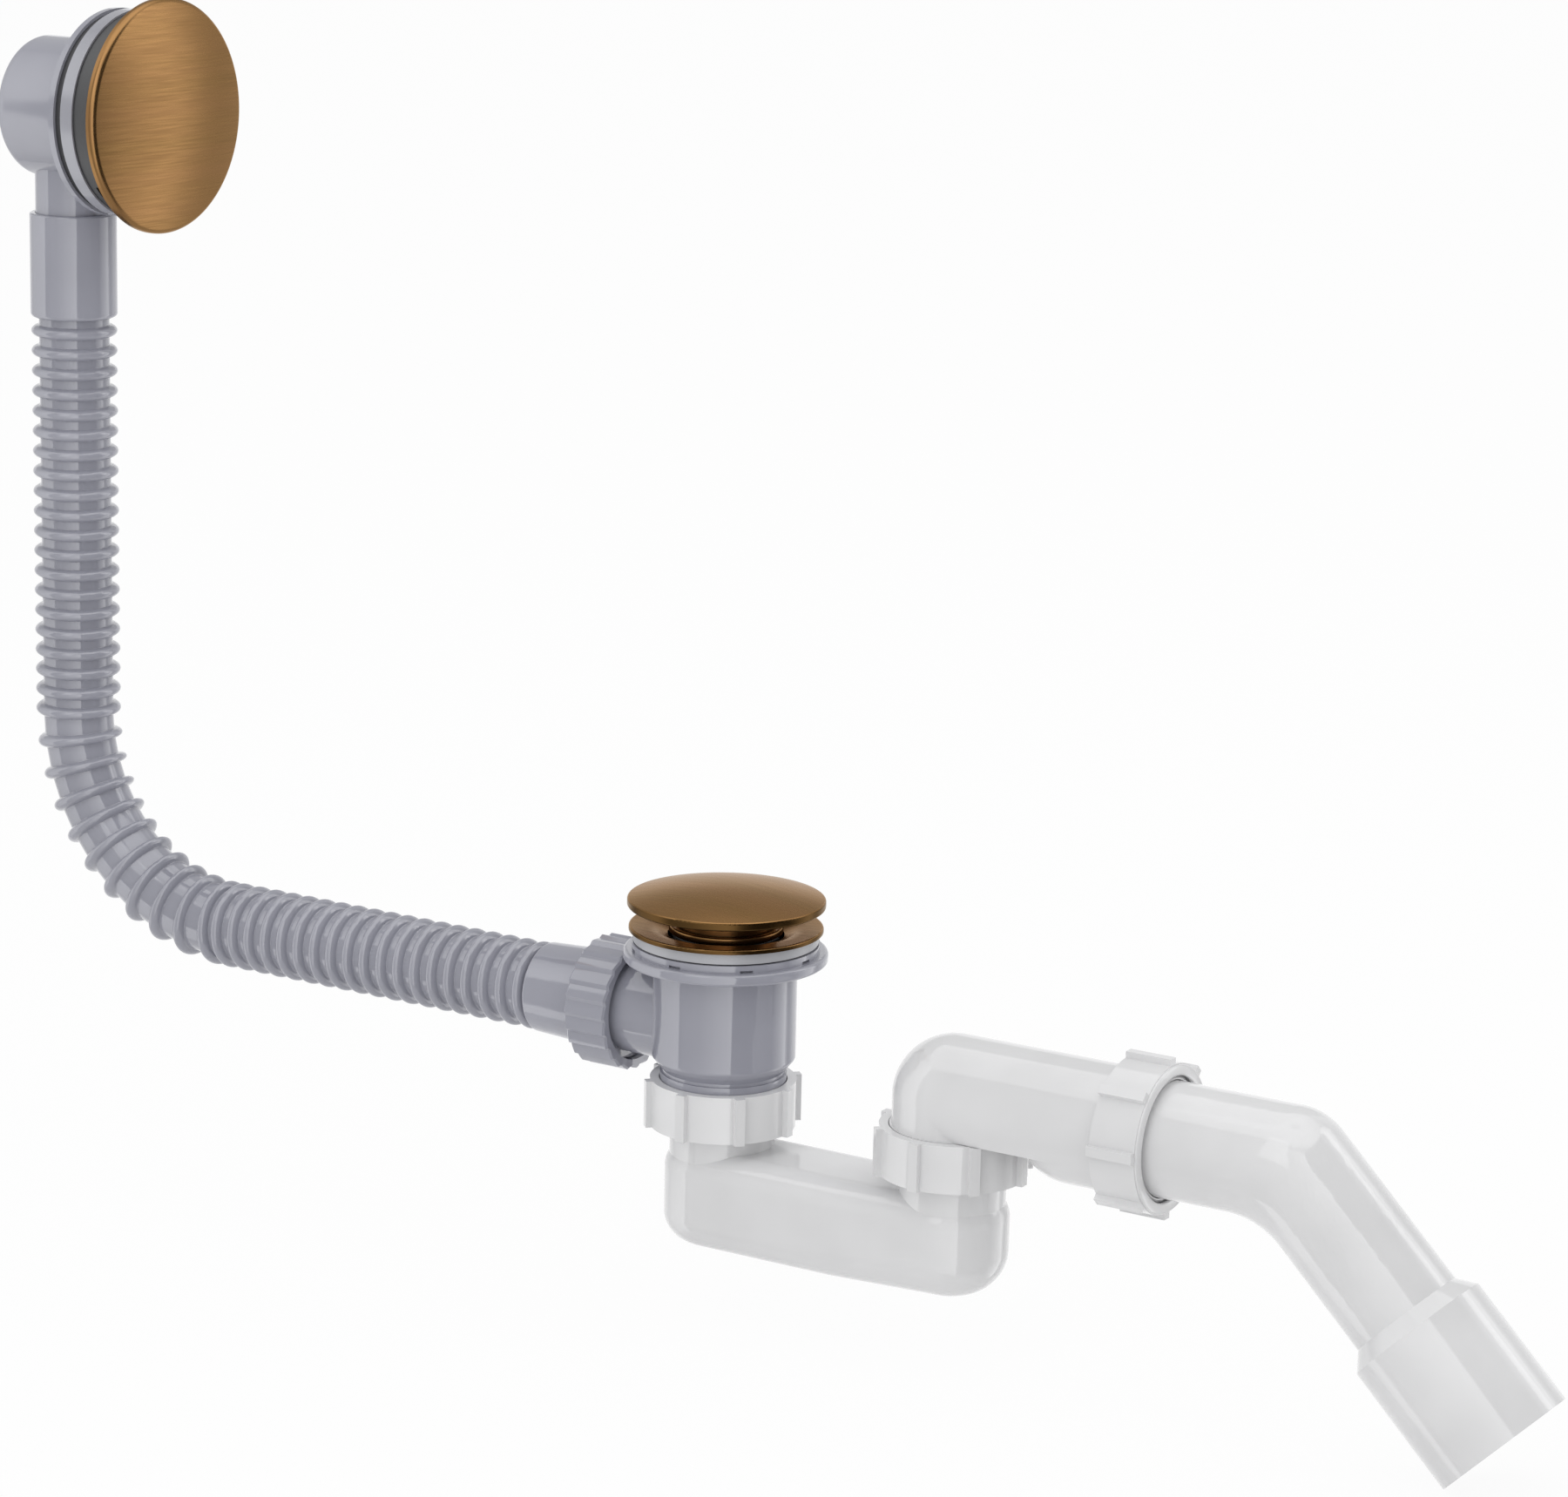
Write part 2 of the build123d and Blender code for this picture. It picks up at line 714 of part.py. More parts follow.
with BuildPart() as hose_upper_cuff:
    upper_cuff_top = upper_cuff_level + upper_cuff_length
    cuff_outer = -overflow_reach + upper_cuff_diameter / 2
    upper_cuff_points = [
        (-overflow_reach + cuff_inner, upper_cuff_level),
        (cuff_outer, upper_cuff_level),
        (cuff_outer, upper_cuff_top),
        (-overflow_reach + spigot_radius + push_gap, upper_cuff_top),
        (-overflow_reach + spigot_radius + push_gap, hose_top),
        (-overflow_reach + cuff_inner, hose_top),
    ]
    cuff_rounds = [(1, upper_cuff_round), (2, upper_cuff_round / 2)]
    revolve(outline(upper_cuff_points, rounds=cuff_rounds), axis=hose_axis)
hose_upper_cuff.part.label = "hose_upper_cuff"
export_step(hose_upper_cuff.part, "parts/hose_upper_cuff.step")

with BuildPart() as overflow_hose:
    drop_points = [(-overflow_reach + hose_inner, bend_z), (-overflow_reach + hose_radius, bend_z)]
    for index in reversed(range(drop_rib_count)):
        rib_level = first_drop_rib - index * rib_pitch
        drop_points += [(-overflow_reach + radius, rib_level + along) for along, radius in rib_section]
    drop_points += [(-overflow_reach + hose_radius, hose_top), (-overflow_reach + hose_inner, hose_top)]
    revolve(outline(drop_points), axis=hose_axis)
    run_points = [(bend_x, hose_inner), (bend_x, hose_radius)]
    for index in reversed(range(run_rib_count)):
        rib_x = first_run_rib - index * rib_pitch
        run_points += [(rib_x + along, radius) for along, radius in rib_section]
    run_points += [(hose_end, hose_radius), (hose_end, hose_inner)]
    revolve(outline(about_branch(run_points)), axis=branch_axis)
    with BuildSketch(Plane((-overflow_reach, 0, bend_z))):
        Circle(hose_radius)
        Circle(hose_inner, mode=Mode.SUBTRACT)
    revolve(axis=Axis((bend_x, 0, bend_z), (0, -1, 0)), revolution_arc=90)
    ring_root = (hose_radius + hose_inner) / 2
    flank = (rib_foot - rib_crest) / (rib_diameter - hose_diameter)
    ring_foot = rib_foot / 2 + flank * (hose_radius - ring_root)
    ring_section = [(-ring_foot, ring_root)] + rib_section[1:3] + [(ring_foot, ring_root)]
    for index in range(ring_count):
        turn = (bend_z - first_ring + index * bend_rib_pitch) / hose_bend_radius
        ring_centre = (bend_x - hose_bend_radius * cos(turn), 0, bend_z - hose_bend_radius * sin(turn))
        ring_heading = (sin(turn), 0, -cos(turn))
        ring_plane = Plane(ring_centre, x_dir=ring_heading, z_dir=(0, 1, 0))
        revolve(outline(ring_section, plane=ring_plane), axis=Axis(ring_centre, ring_heading))
overflow_hose.part.label = "overflow_hose"
export_step(overflow_hose.part, "parts/overflow_hose.step")

# Lower end of the hose: a tapered cuff whose collar is held against the branch by a fluted nut
lip_inside = nut_left + hose_nut_lip
collar_front = lip_inside + hose_collar_thickness
branch_nut_bore = branch_thread_diameter / 2 + thread_gap
shoulder_radius = lower_cuff_shoulder / 2
with BuildPart() as hose_lower_cuff:
    lower_cuff_points = [
        (cuff_left, cuff_inner),
        (cuff_left, lower_cuff_diameter / 2),
        (nut_left, shoulder_radius),
        (lip_inside, shoulder_radius),
        (lip_inside, branch_thread_diameter / 2),
        (collar_front, branch_thread_diameter / 2),
        (collar_front, hose_inner),
        (hose_end + push_gap, hose_inner),
        (hose_end + push_gap, cuff_inner),
    ]
    revolve(outline(about_branch(lower_cuff_points), rounds=[(1, lower_cuff_round)]), axis=branch_axis)
hose_lower_cuff.part.label = "hose_lower_cuff"
export_step(hose_lower_cuff.part, "parts/hose_lower_cuff.step")

with BuildPart() as hose_washer:
    with BuildSketch(across((collar_front, 0, -branch_drop))):
        Circle(branch_thread_diameter / 2)
        Circle(hose_inner, mode=Mode.SUBTRACT)
    extrude(amount=branch_end - collar_front)
hose_washer.part.label = "hose_washer"
export_step(hose_washer.part, "parts/hose_washer.step")

with BuildPart() as hose_nut:
    flute_points = []
    for index in range(flute_count):
        for share, radius in [(0, hose_nut_diameter / 2), (flute_share, hose_nut_diameter / 2 - flute_depth)]:
            flute_angle = 2 * pi * (index + share) / flute_count
            flute_points.append((radius * cos(flute_angle), radius * sin(flute_angle)))
    extrude(outline(flute_points, plane=across((nut_left, 0, -branch_drop))), amount=hose_nut_length)
    with BuildSketch(across((nut_left, 0, -branch_drop))):
        Circle(shoulder_radius + push_gap)
    extrude(amount=hose_nut_lip, mode=Mode.SUBTRACT)
    with BuildSketch(across((lip_inside, 0, -branch_drop))):
        Circle(branch_nut_bore)
    extrude(amount=hose_nut_length - hose_nut_lip, mode=Mode.SUBTRACT)
hose_nut.part.label = "hose_nut"
export_step(hose_nut.part, "parts/hose_nut.step")

# Trap: an oblong tray with an upright socket at each end, each held by its collar in a lugged nut
socket_hole = socket_diameter + 2 * seat_gap
trap_inlet_nut = lugged_nut(Plane((0, 0, nut_bottom)), nut_bore, nut_wall, nut_lip, socket_hole)
trap_inlet_nut.part.label = "trap_inlet_nut"
export_step(trap_inlet_nut.part, "parts/trap_inlet_nut.step")

washer_bottom = neck_end - washer_thickness
trap_inlet_washer = washer(neck_radius, neck_inner, washer_bottom, washer_thickness)
trap_inlet_washer.part.label = "trap_inlet_washer"
export_step(trap_inlet_washer.part, "parts/trap_inlet_washer.step")

def tray(wall):
    """Oblong tray, smaller all round by the wall, its bottom edge rounder at the outlet end."""
    half_width = trap_width / 2 - wall
    low = trap_bottom + wall
    high = trap_deck - wall
    top_round = trap_top_round - wall
    inlet_round = trap_inlet_round - wall
    outlet_round = trap_outlet_round - wall
    with BuildPart() as shape:
        for centre, bottom_round, up in [(0, inlet_round, 1), (trap_span, outlet_round, -1)]:
            half_points = [(0, low), (half_width, low), (half_width, high), (0, high)]
            half_rounds = [(1, bottom_round), (2, top_round)]
            half_section = outline(half_points, rounds=half_rounds, plane=across((centre, 0, 0)))
            revolve(half_section, axis=Axis((centre, 0, 0), (0, 0, up)), revolution_arc=180)
        sections = []
        taper_start = trap_span - trap_width
        for x, bottom_round in [(0, inlet_round), (taper_start, inlet_round), (trap_span, outlet_round)]:
            points = [(-half_width, low), (half_width, low), (half_width, high), (-half_width, high)]
            rounds = [(0, bottom_round), (1, bottom_round), (2, top_round), (3, top_round)]
            sections.append(outline(points, rounds=rounds, plane=across((x, 0, 0))))
        loft(sections, ruled=True)
    return shape.part


with BuildPart() as trap_body:
    add(tray(0))
    tray_middle = trap_bottom + trap_height / 2
    with BuildSketch(Plane.XY.offset(tray_middle)):
        with Locations((0, 0), (trap_span, 0)):
            Circle(socket_radius)
    extrude(amount=collar_bottom - tray_middle)
    with BuildSketch(Plane.XY.offset(collar_bottom)):
        with Locations((0, 0), (trap_span, 0)):
            Circle(neck_radius - thread_gap)
    extrude(amount=collar_thickness)
    add(tray(trap_wall), mode=Mode.SUBTRACT)
    with BuildSketch(Plane.XY.offset(tray_middle)):
        with Locations((0, 0), (trap_span, 0)):
            Circle(socket_radius - socket_wall)
    extrude(amount=collar_top - tray_middle, mode=Mode.SUBTRACT)
trap_body.part.label = "trap_body"
export_step(trap_body.part, "parts/trap_body.step")

riser_nut = lugged_nut(Plane((trap_span, 0, nut_bottom)), nut_bore, nut_wall, nut_lip, socket_hole)
riser_nut.part.label = "riser_nut"
export_step(riser_nut.part, "parts/riser_nut.step")

riser_washer = washer(neck_radius, neck_inner, washer_bottom, washer_thickness, trap_span)
riser_washer.part.label = "riser_washer"
export_step(riser_washer.part, "parts/riser_washer.step")

# Outlet elbow: a domed bend over the riser, with a belly beside the nut and a threaded socket for the pipe
nut_face = trap_span + outlet_nut_reach + nut_length
lip_face = nut_face - outlet_lip
barrel_end = lip_face - cone_washer_rim
pipe_start = barrel_end - pipe_insertion
socket_bore = pipe_radius + seat_gap
belly_x = trap_span + belly_reach
with BuildPart() as outlet_elbow:
    with BuildSketch(across((trap_span, 0, elbow_level))):
        Circle(elbow_radius)
    extrude(amount=barrel_end - trap_span)
    with Locations((trap_span, 0, elbow_level)):
        Sphere(elbow_radius)
    with BuildSketch(Plane((belly_x - trap_span / 2, 0, elbow_underside))):
        Rectangle(trap_span + elbow_diameter, 2 * elbow_diameter)
    extrude(amount=-elbow_diameter, mode=Mode.SUBTRACT)
    with BuildSketch(Plane((trap_span, 0, elbow_underside))):
        Circle(elbow_radius)
    extrude(amount=elbow_rise)
    with BuildSketch(across((belly_x, 0, elbow_level))):
        Circle(elbow_radius)
    extrude(amount=barrel_end - belly_x)
    with Locations((belly_x, 0, elbow_level)):
        Sphere(elbow_radius)
    elbow_thread = nut_face - nut_length + elbow_thread_start
    with BuildSketch(across((elbow_thread, 0, elbow_level))):
        Circle(elbow_thread_diameter / 2)
    extrude(amount=barrel_end - elbow_thread)
    with BuildSketch(Plane((trap_span, 0, neck_end))):
        Circle(neck_radius)
    extrude(amount=elbow_underside - neck_end)
    with BuildSketch(Plane((trap_span, 0, neck_end))):
        Circle(elbow_inner)
    extrude(amount=elbow_level - neck_end, mode=Mode.SUBTRACT)
    with Locations((trap_span, 0, elbow_level)):
        Sphere(elbow_inner, mode=Mode.SUBTRACT)
    with BuildSketch(across((trap_span, 0, elbow_level))):
        Circle(pipe_radius - pipe_wall)
    extrude(amount=barrel_end - trap_span, mode=Mode.SUBTRACT)
    with BuildSketch(across((pipe_start - slide_gap, 0, elbow_level))):
        Circle(socket_bore)
    extrude(amount=barrel_end - pipe_start + slide_gap, mode=Mode.SUBTRACT)
outlet_elbow.part.label = "outlet_elbow"
export_step(outlet_elbow.part, "parts/outlet_elbow.step")

outlet_seat = Plane((nut_face, 0, elbow_level), x_dir=(0, 1, 0), z_dir=(-1, 0, 0))
lip_hole = pipe_radius + outlet_lip_gap
outlet_nut_bore = elbow_thread_diameter + 2 * thread_gap
outlet_nut = lugged_nut(outlet_seat, outlet_nut_bore, outlet_nut_wall, outlet_lip, 2 * lip_hole)
outlet_nut.part.label = "outlet_nut"
export_step(outlet_nut.part, "parts/outlet_nut.step")

with BuildPart() as outlet_washer:
    washer_points = [
        (barrel_end, socket_bore),
        (barrel_end, elbow_thread_diameter / 2),
        (lip_face, elbow_thread_diameter / 2),
        (lip_face, lip_hole),
        (nut_face - cone_washer_recess, pipe_radius + cone_washer_nose),
        (nut_face - cone_washer_recess, socket_bore),
    ]
    revolve(outline([(x, elbow_level + radius) for x, radius in washer_points]), axis=elbow_axis)
outlet_washer.part.label = "outlet_washer"
export_step(outlet_washer.part, "parts/outlet_washer.step")

# Outlet bend: a pipe with a close 45 degree bend, its inner side more rounded than its outer, and a wider end
half_angle = radians(bend_angle / 2)
bend_run = (pipe_radius + bend_inner_round) * tan(half_angle) + pipe_radius
corner = Vector(trap_span + bend_reach, 0, elbow_level)
heading = Vector(cos(2 * half_angle), 0, -sin(2 * half_angle))
outwards = Vector(sin(half_angle), 0, cos(half_angle))
outer_centre = corner + outwards * ((pipe_radius - bend_outer_round) / cos(half_angle))
inner_centre = corner - outwards * ((pipe_radius + bend_inner_round) / cos(half_angle))


def bend_section(share, wall):
    """Slanted section of the bend, at a share of its turn and smaller all round by the wall."""
    away = Vector(sin(2 * half_angle * share), 0, cos(2 * half_angle * share))
    outer_point = outer_centre + away * (bend_outer_round - wall)
    inner_point = inner_centre + away * (bend_inner_round + wall)
    chord = outer_point - inner_point
    facing = Vector(0, 1, 0).cross(chord)
    with BuildSketch(Plane((outer_point + inner_point) / 2, x_dir=(0, 1, 0), z_dir=facing)) as section:
        Ellipse(pipe_radius - wall, chord.length / 2)
    return section.sketch


def bend_core(wall):
    """Smooth solid through the bend, smaller all round by the wall, with a straight stub at each end."""
    with BuildPart() as core:
        loft([bend_section(share, wall) for share in (0, 0.25, 0.5, 0.75, 1)])
        extrude(bend_section(0, wall), amount=bend_run + pipe_wall, dir=(-1, 0, 0))
        extrude(bend_section(1, wall), amount=bend_run + pipe_wall, dir=heading)
    return core.part


with BuildPart() as outlet_bend:
    with BuildSketch(across((pipe_start, 0, elbow_level))):
        Circle(pipe_radius)
    extrude(amount=corner.X - bend_run - pipe_start)
    add(bend_core(0))
    leg_plane = Plane(corner, x_dir=heading, z_dir=(0, 1, 0))
    end_start = leg_length + end_chamfer
    end_stop = end_start + end_length
    leg_points = [
        (bend_run, 0),
        (bend_run, pipe_radius),
        (leg_length, pipe_radius),
        (end_start, end_diameter / 2),
        (end_stop, end_diameter / 2),
        (end_stop, 0),
    ]
    leg_axis = Axis(corner, heading)
    revolve(outline(leg_points, plane=leg_plane), axis=leg_axis)
    with BuildSketch(across((pipe_start, 0, elbow_level))):
        Circle(pipe_radius - pipe_wall)
    extrude(amount=corner.X - bend_run - pipe_start, mode=Mode.SUBTRACT)
    add(bend_core(pipe_wall), mode=Mode.SUBTRACT)
    bore_points = [
        (bend_run, 0),
        (bend_run, pipe_radius - pipe_wall),
        (leg_length, pipe_radius - pipe_wall),
        (end_start, end_diameter / 2 - pipe_wall),
        (end_stop, end_diameter / 2 - pipe_wall),
        (end_stop, 0),
    ]
    revolve(outline(bore_points, plane=leg_plane), axis=leg_axis, mode=Mode.SUBTRACT)
outlet_bend.part.label = "outlet_bend"
export_step(outlet_bend.part, "parts/outlet_bend.step")
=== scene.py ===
from math import cos, pi, radians, sin

import bpy
import numpy as np
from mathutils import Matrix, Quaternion, Vector


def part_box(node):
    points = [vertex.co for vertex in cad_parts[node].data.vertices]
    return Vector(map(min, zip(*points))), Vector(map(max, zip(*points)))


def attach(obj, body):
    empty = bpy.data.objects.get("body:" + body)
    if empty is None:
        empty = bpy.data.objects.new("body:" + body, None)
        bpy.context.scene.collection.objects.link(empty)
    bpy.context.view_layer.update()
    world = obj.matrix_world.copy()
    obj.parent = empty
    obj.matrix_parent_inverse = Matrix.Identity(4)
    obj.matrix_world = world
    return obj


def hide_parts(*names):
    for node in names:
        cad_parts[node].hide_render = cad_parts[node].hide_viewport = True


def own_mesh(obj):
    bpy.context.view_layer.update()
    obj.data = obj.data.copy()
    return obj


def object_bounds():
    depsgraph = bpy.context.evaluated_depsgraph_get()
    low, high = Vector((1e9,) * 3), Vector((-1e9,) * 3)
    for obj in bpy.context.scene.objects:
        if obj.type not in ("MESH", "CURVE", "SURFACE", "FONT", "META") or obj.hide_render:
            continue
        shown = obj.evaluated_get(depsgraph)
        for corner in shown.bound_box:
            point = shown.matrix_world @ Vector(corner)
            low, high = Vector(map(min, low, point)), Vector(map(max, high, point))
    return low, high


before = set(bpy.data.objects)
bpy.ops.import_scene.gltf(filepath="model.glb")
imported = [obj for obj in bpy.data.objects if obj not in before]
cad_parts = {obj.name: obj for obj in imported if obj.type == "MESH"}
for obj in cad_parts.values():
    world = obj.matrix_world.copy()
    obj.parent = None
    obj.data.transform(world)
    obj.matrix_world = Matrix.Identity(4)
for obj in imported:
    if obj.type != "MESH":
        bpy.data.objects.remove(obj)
cad_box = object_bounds()
scene = bpy.context.scene
scene.view_settings.view_transform = "Standard"


# Camera: a short tele lens a little above the waste, looking down at the front right of the assembly.
# It is turned slightly about its own axis, as the photograph is. The image is 1800 wide and 1719 high.
image_width = 1800
focal_pixels = 5617
sensor_width = 36.0
camera_azimuth = radians(31.52)
camera_elevation = radians(13.28)
camera_roll = radians(1.287)
camera_target = Vector((0.0225, -0.0005, 0.0685))
camera_distance = 1.6935


def direction(azimuth, elevation):
    """Unit vector away from the target: straight to the front, turned to the right and then lifted."""
    return Vector((sin(azimuth) * cos(elevation), -cos(azimuth) * cos(elevation), sin(elevation)))


camera_back = direction(camera_azimuth, camera_elevation)
camera_data = bpy.data.cameras.new("camera")
camera_data.sensor_width = sensor_width
camera_data.lens = sensor_width * focal_pixels / image_width
camera = bpy.data.objects.new("camera", camera_data)
camera.location = camera_target + camera_back * camera_distance
camera.rotation_mode = "QUATERNION"
camera.rotation_quaternion = camera_back.to_track_quat("Z", "Y") @ Quaternion((0, 0, 1), camera_roll)
scene.collection.objects.link(camera)
scene.camera = camera


# Floor and world: a white seamless floor under the lowest point of the outlet, and a white room round it.
# The camera and mirror-like surfaces see them as white; the floor's own share of matt white keeps the shadow.
floor_half = 14.0
floor_white = (0.94, 0.94, 0.94, 1.0)
floor_matt_share = 0.06
room_white = (1.0, 1.0, 1.0, 1.0)
room_light = 0.70
seen_light = 1.0


def seen_directly(nodes, links):
    """1 for camera, glossy and transmission rays and 0 for the rest: the largest of three Light Path flags."""
    path = nodes.new("ShaderNodeLightPath")
    first = nodes.new("ShaderNodeMath")
    first.operation = "MAXIMUM"
    links.new(path.outputs["Is Camera Ray"], first.inputs[0])
    links.new(path.outputs["Is Glossy Ray"], first.inputs[1])
    both = nodes.new("ShaderNodeMath")
    both.operation = "MAXIMUM"
    links.new(first.outputs[0], both.inputs[0])
    links.new(path.outputs["Is Transmission Ray"], both.inputs[1])
    return both.outputs[0]


world = bpy.data.worlds.new("room")
world.use_nodes = True
scene.world = world
room_nodes, room_links = world.node_tree.nodes, world.node_tree.links
room_nodes.clear()
room_output = room_nodes.new("ShaderNodeOutputWorld")
room_mix = room_nodes.new("ShaderNodeMixShader")
room_links.new(seen_directly(room_nodes, room_links), room_mix.inputs[0])
for socket, strength in ((1, room_light), (2, seen_light)):
    background = room_nodes.new("ShaderNodeBackground")
    background.inputs["Color"].default_value = room_white
    background.inputs["Strength"].default_value = strength
    room_links.new(background.outputs[0], room_mix.inputs[socket])
room_links.new(room_mix.outputs[0], room_output.inputs["Surface"])

floor_level = cad_box[0].z
floor_mesh = bpy.data.meshes.new("floor")
floor_mesh.from_pydata(
    [(x * floor_half, y * floor_half, floor_level) for x, y in ((-1, -1), (1, -1), (1, 1), (-1, 1))],
    [],
    [(0, 1, 2, 3)],
)
floor = bpy.data.objects.new("floor", floor_mesh)
scene.collection.objects.link(floor)
floor_paint = bpy.data.materials.new("floor_paint")
floor_paint.use_nodes = True
paint_nodes, paint_links = floor_paint.node_tree.nodes, floor_paint.node_tree.links
paint_nodes.clear()
paint_output = paint_nodes.new("ShaderNodeOutputMaterial")
paint_matt = paint_nodes.new("ShaderNodeBsdfDiffuse")
paint_matt.inputs["Color"].default_value = floor_white
paint_glow = paint_nodes.new("ShaderNodeEmission")
paint_glow.inputs["Strength"].default_value = seen_light
paint_seen = paint_nodes.new("ShaderNodeMixShader")
paint_seen.inputs[0].default_value = floor_matt_share
paint_mix = paint_nodes.new("ShaderNodeMixShader")
paint_links.new(paint_glow.outputs[0], paint_seen.inputs[1])
paint_links.new(paint_matt.outputs[0], paint_seen.inputs[2])
paint_links.new(seen_directly(paint_nodes, paint_links), paint_mix.inputs[0])
paint_links.new(paint_matt.outputs[0], paint_mix.inputs[1])
paint_links.new(paint_seen.outputs[0], paint_mix.inputs[2])
paint_links.new(paint_mix.outputs[0], paint_output.inputs["Surface"])
floor_mesh.materials.append(floor_paint)
floor.visible_glossy = False


# Studio lights: a tall softbox left of the camera, a wide one overhead and a narrow strip on the right.
# Light and dark cards stand in a ring round the table, for the metal and the glossy plastic to mirror.
def softbox(name, azimuth, elevation, distance, width, height, power):
    """Rectangular lamp on a sphere round the target, facing it; angles in degrees as for the camera."""
    back = direction(radians(azimuth), radians(elevation))
    lamp_data = bpy.data.lights.new(name, "AREA")
    lamp_data.shape = "RECTANGLE"
    lamp_data.size = width
    lamp_data.size_y = height
    lamp_data.energy = power
    lamp = bpy.data.objects.new(name, lamp_data)
    lamp.location = camera_target + back * distance
    lamp.rotation_euler = back.to_track_quat("Z", "Y").to_euler()
    scene.collection.objects.link(lamp)


softbox("key_softbox", azimuth=-4, elevation=36, distance=2.1, width=0.9, height=1.5, power=6.5)
softbox("top_softbox", azimuth=60, elevation=80, distance=2.2, width=2.2, height=2.2, power=8.0)
softbox("right_strip", azimuth=132, elevation=30, distance=1.9, width=0.35, height=1.2, power=2.5)

card_radius = 3.0
card_steps = 12


def card(name, start, end, low, high, first_glow, last_glow):
    """Patch of a drum round the target between two azimuths and two elevations, in degrees, its glow growing
    evenly from one side to the other. Only mirror-like surfaces see it: it lights and shades nothing else."""
    share = np.linspace(0.0, 1.0, card_steps + 1)
    turn = np.radians(start + (end - start) * share)
    across = card_radius * np.stack([np.sin(turn), -np.cos(turn)], axis=-1)
    levels = card_radius * np.tan(np.radians([low, high]))
    points = np.concatenate([np.column_stack([across, np.full(len(share), level)]) for level in levels])
    corner = np.arange(card_steps)
    above = corner + len(share)
    quads = np.stack([corner, corner + 1, above + 1, above], axis=-1)
    mesh = bpy.data.meshes.new(name)
    mesh.from_pydata(points + np.array(camera_target), [], quads)
    glow_values = first_glow + (last_glow - first_glow) * np.concatenate([share, share])
    mesh.attributes.new("glow", "FLOAT", "POINT").data.foreach_set("value", glow_values)
    paint = bpy.data.materials.new(name)
    paint.use_nodes = True
    nodes, links = paint.node_tree.nodes, paint.node_tree.links
    nodes.clear()
    strength = nodes.new("ShaderNodeAttribute")
    strength.attribute_name = "glow"
    glow = nodes.new("ShaderNodeEmission")
    output = nodes.new("ShaderNodeOutputMaterial")
    links.new(strength.outputs["Fac"], glow.inputs["Strength"])
    links.new(glow.outputs[0], output.inputs["Surface"])
    mesh.materials.append(paint)
    sheet = bpy.data.objects.new(name, mesh)
    sheet.visible_camera = False
    sheet.visible_diffuse = False
    sheet.visible_shadow = False
    scene.collection.objects.link(sheet)


card("left_card", start=-102, end=-45, low=-45, high=50, first_glow=0.8, last_glow=2.5)
card("side_card", start=-45, end=-8, low=-45, high=50, first_glow=0.55, last_glow=1.0)
card("front_card", start=-8, end=44, low=-45, high=45, first_glow=1.0, last_glow=2.9)
card("dark_card", start=44, end=116, low=-45, high=50, first_glow=0.12, last_glow=0.12)
card("strip_card", start=116, end=148, low=-45, high=45, first_glow=0.5, last_glow=2.75)
card("right_card", start=148, end=156, low=-45, high=45, first_glow=1.6, last_glow=0.6)
card("far_right_card", start=156, end=178, low=-45, high=45, first_glow=0.6, last_glow=1.3)
card("back_card", start=178, end=258, low=-45, high=16, first_glow=1.15, last_glow=1.15)
card("high_back_card", start=178, end=258, low=16, high=50, first_glow=0.65, last_glow=0.65)
card("ceiling_card", start=-180, end=180, low=50, high=84, first_glow=2.0, last_glow=2.0)


# Flange and plug: the ring that clamps the bath's floor at the drain, and the dome that is pressed to open it.
# Both are turned from brass, brushed along the bath and darkened to a brown bronze; their rims' sides and
# undersides get painted shade.
# The flange screws into the waste, and the dome sits on the plunger of the click mechanism.
bronze_dark = (0.150, 0.084, 0.031, 1.0)
bronze_light = (0.268, 0.150, 0.058, 1.0)
bronze_red = (0.240, 0.126, 0.054, 1.0)
bronze_edge = (0.920, 0.800, 0.680, 1.0)
# Painted shade: the colour that darkens the sides and undersides of the flange's and plug's rims.
painted_shade_colour = (0.070, 0.038, 0.013, 1.0)
bronze_roughness = (0.31, 0.25)
line_contrast = (0.12, 0.88)
cloud_contrast = (0.0, 0.7)
turned_tone = 0.5
face_cosines = (0.75, 0.92)
side_cosines = (0.45, 0.80)
rim_radii = (0.0310, 0.0322)
brush_relief = 0.05
brush_depth = 0.00005
sharp_angle = radians(32)
corner_gap = 1e-6

brushing = bpy.data.node_groups.new("brushed_lines", "ShaderNodeTree")
brushing.interface.new_socket("Vector", in_out="INPUT", socket_type="NodeSocketVector")
brushing.interface.new_socket("Lines", in_out="OUTPUT", socket_type="NodeSocketFloat")
brushing.interface.new_socket("Cloud", in_out="OUTPUT", socket_type="NodeSocketFloat")
brushing_in = brushing.nodes.new("NodeGroupInput")
brushing_out = brushing.nodes.new("NodeGroupOutput")
for output, scale in (("Lines", 1.0), ("Cloud", 0.045)):
    texture = brushing.nodes.new("ShaderNodeTexNoise")
    texture.inputs["Scale"].default_value = scale
    texture.inputs["Detail"].default_value = 2.0
    brushing.links.new(brushing_in.outputs["Vector"], texture.inputs["Vector"])
    brushing.links.new(texture.outputs["Fac"], brushing_out.inputs[output])


def mixed_colour(nodes, links, factor, first, second):
    """Colour between first and second by the factor; first may be a colour or another node's output."""
    mix = nodes.new("ShaderNodeMix")
    mix.data_type = "RGBA"
    first_colour, second_colour = mix.inputs[6], mix.inputs[7]
    links.new(factor, mix.inputs[0])
    if isinstance(first, bpy.types.NodeSocket):
        links.new(first, first_colour)
    else:
        first_colour.default_value = first
    second_colour.default_value = second
    return mix.outputs[2]


def spread(nodes, links, value, span, new_span):
    """Value rescaled evenly from one span to another and held inside it."""
    remap = nodes.new("ShaderNodeMapRange")
    remap.inputs["From Min"].default_value, remap.inputs["From Max"].default_value = span
    remap.inputs["To Min"].default_value, remap.inputs["To Max"].default_value = new_span
    links.new(value, remap.inputs["Value"])
    return remap.outputs["Result"]


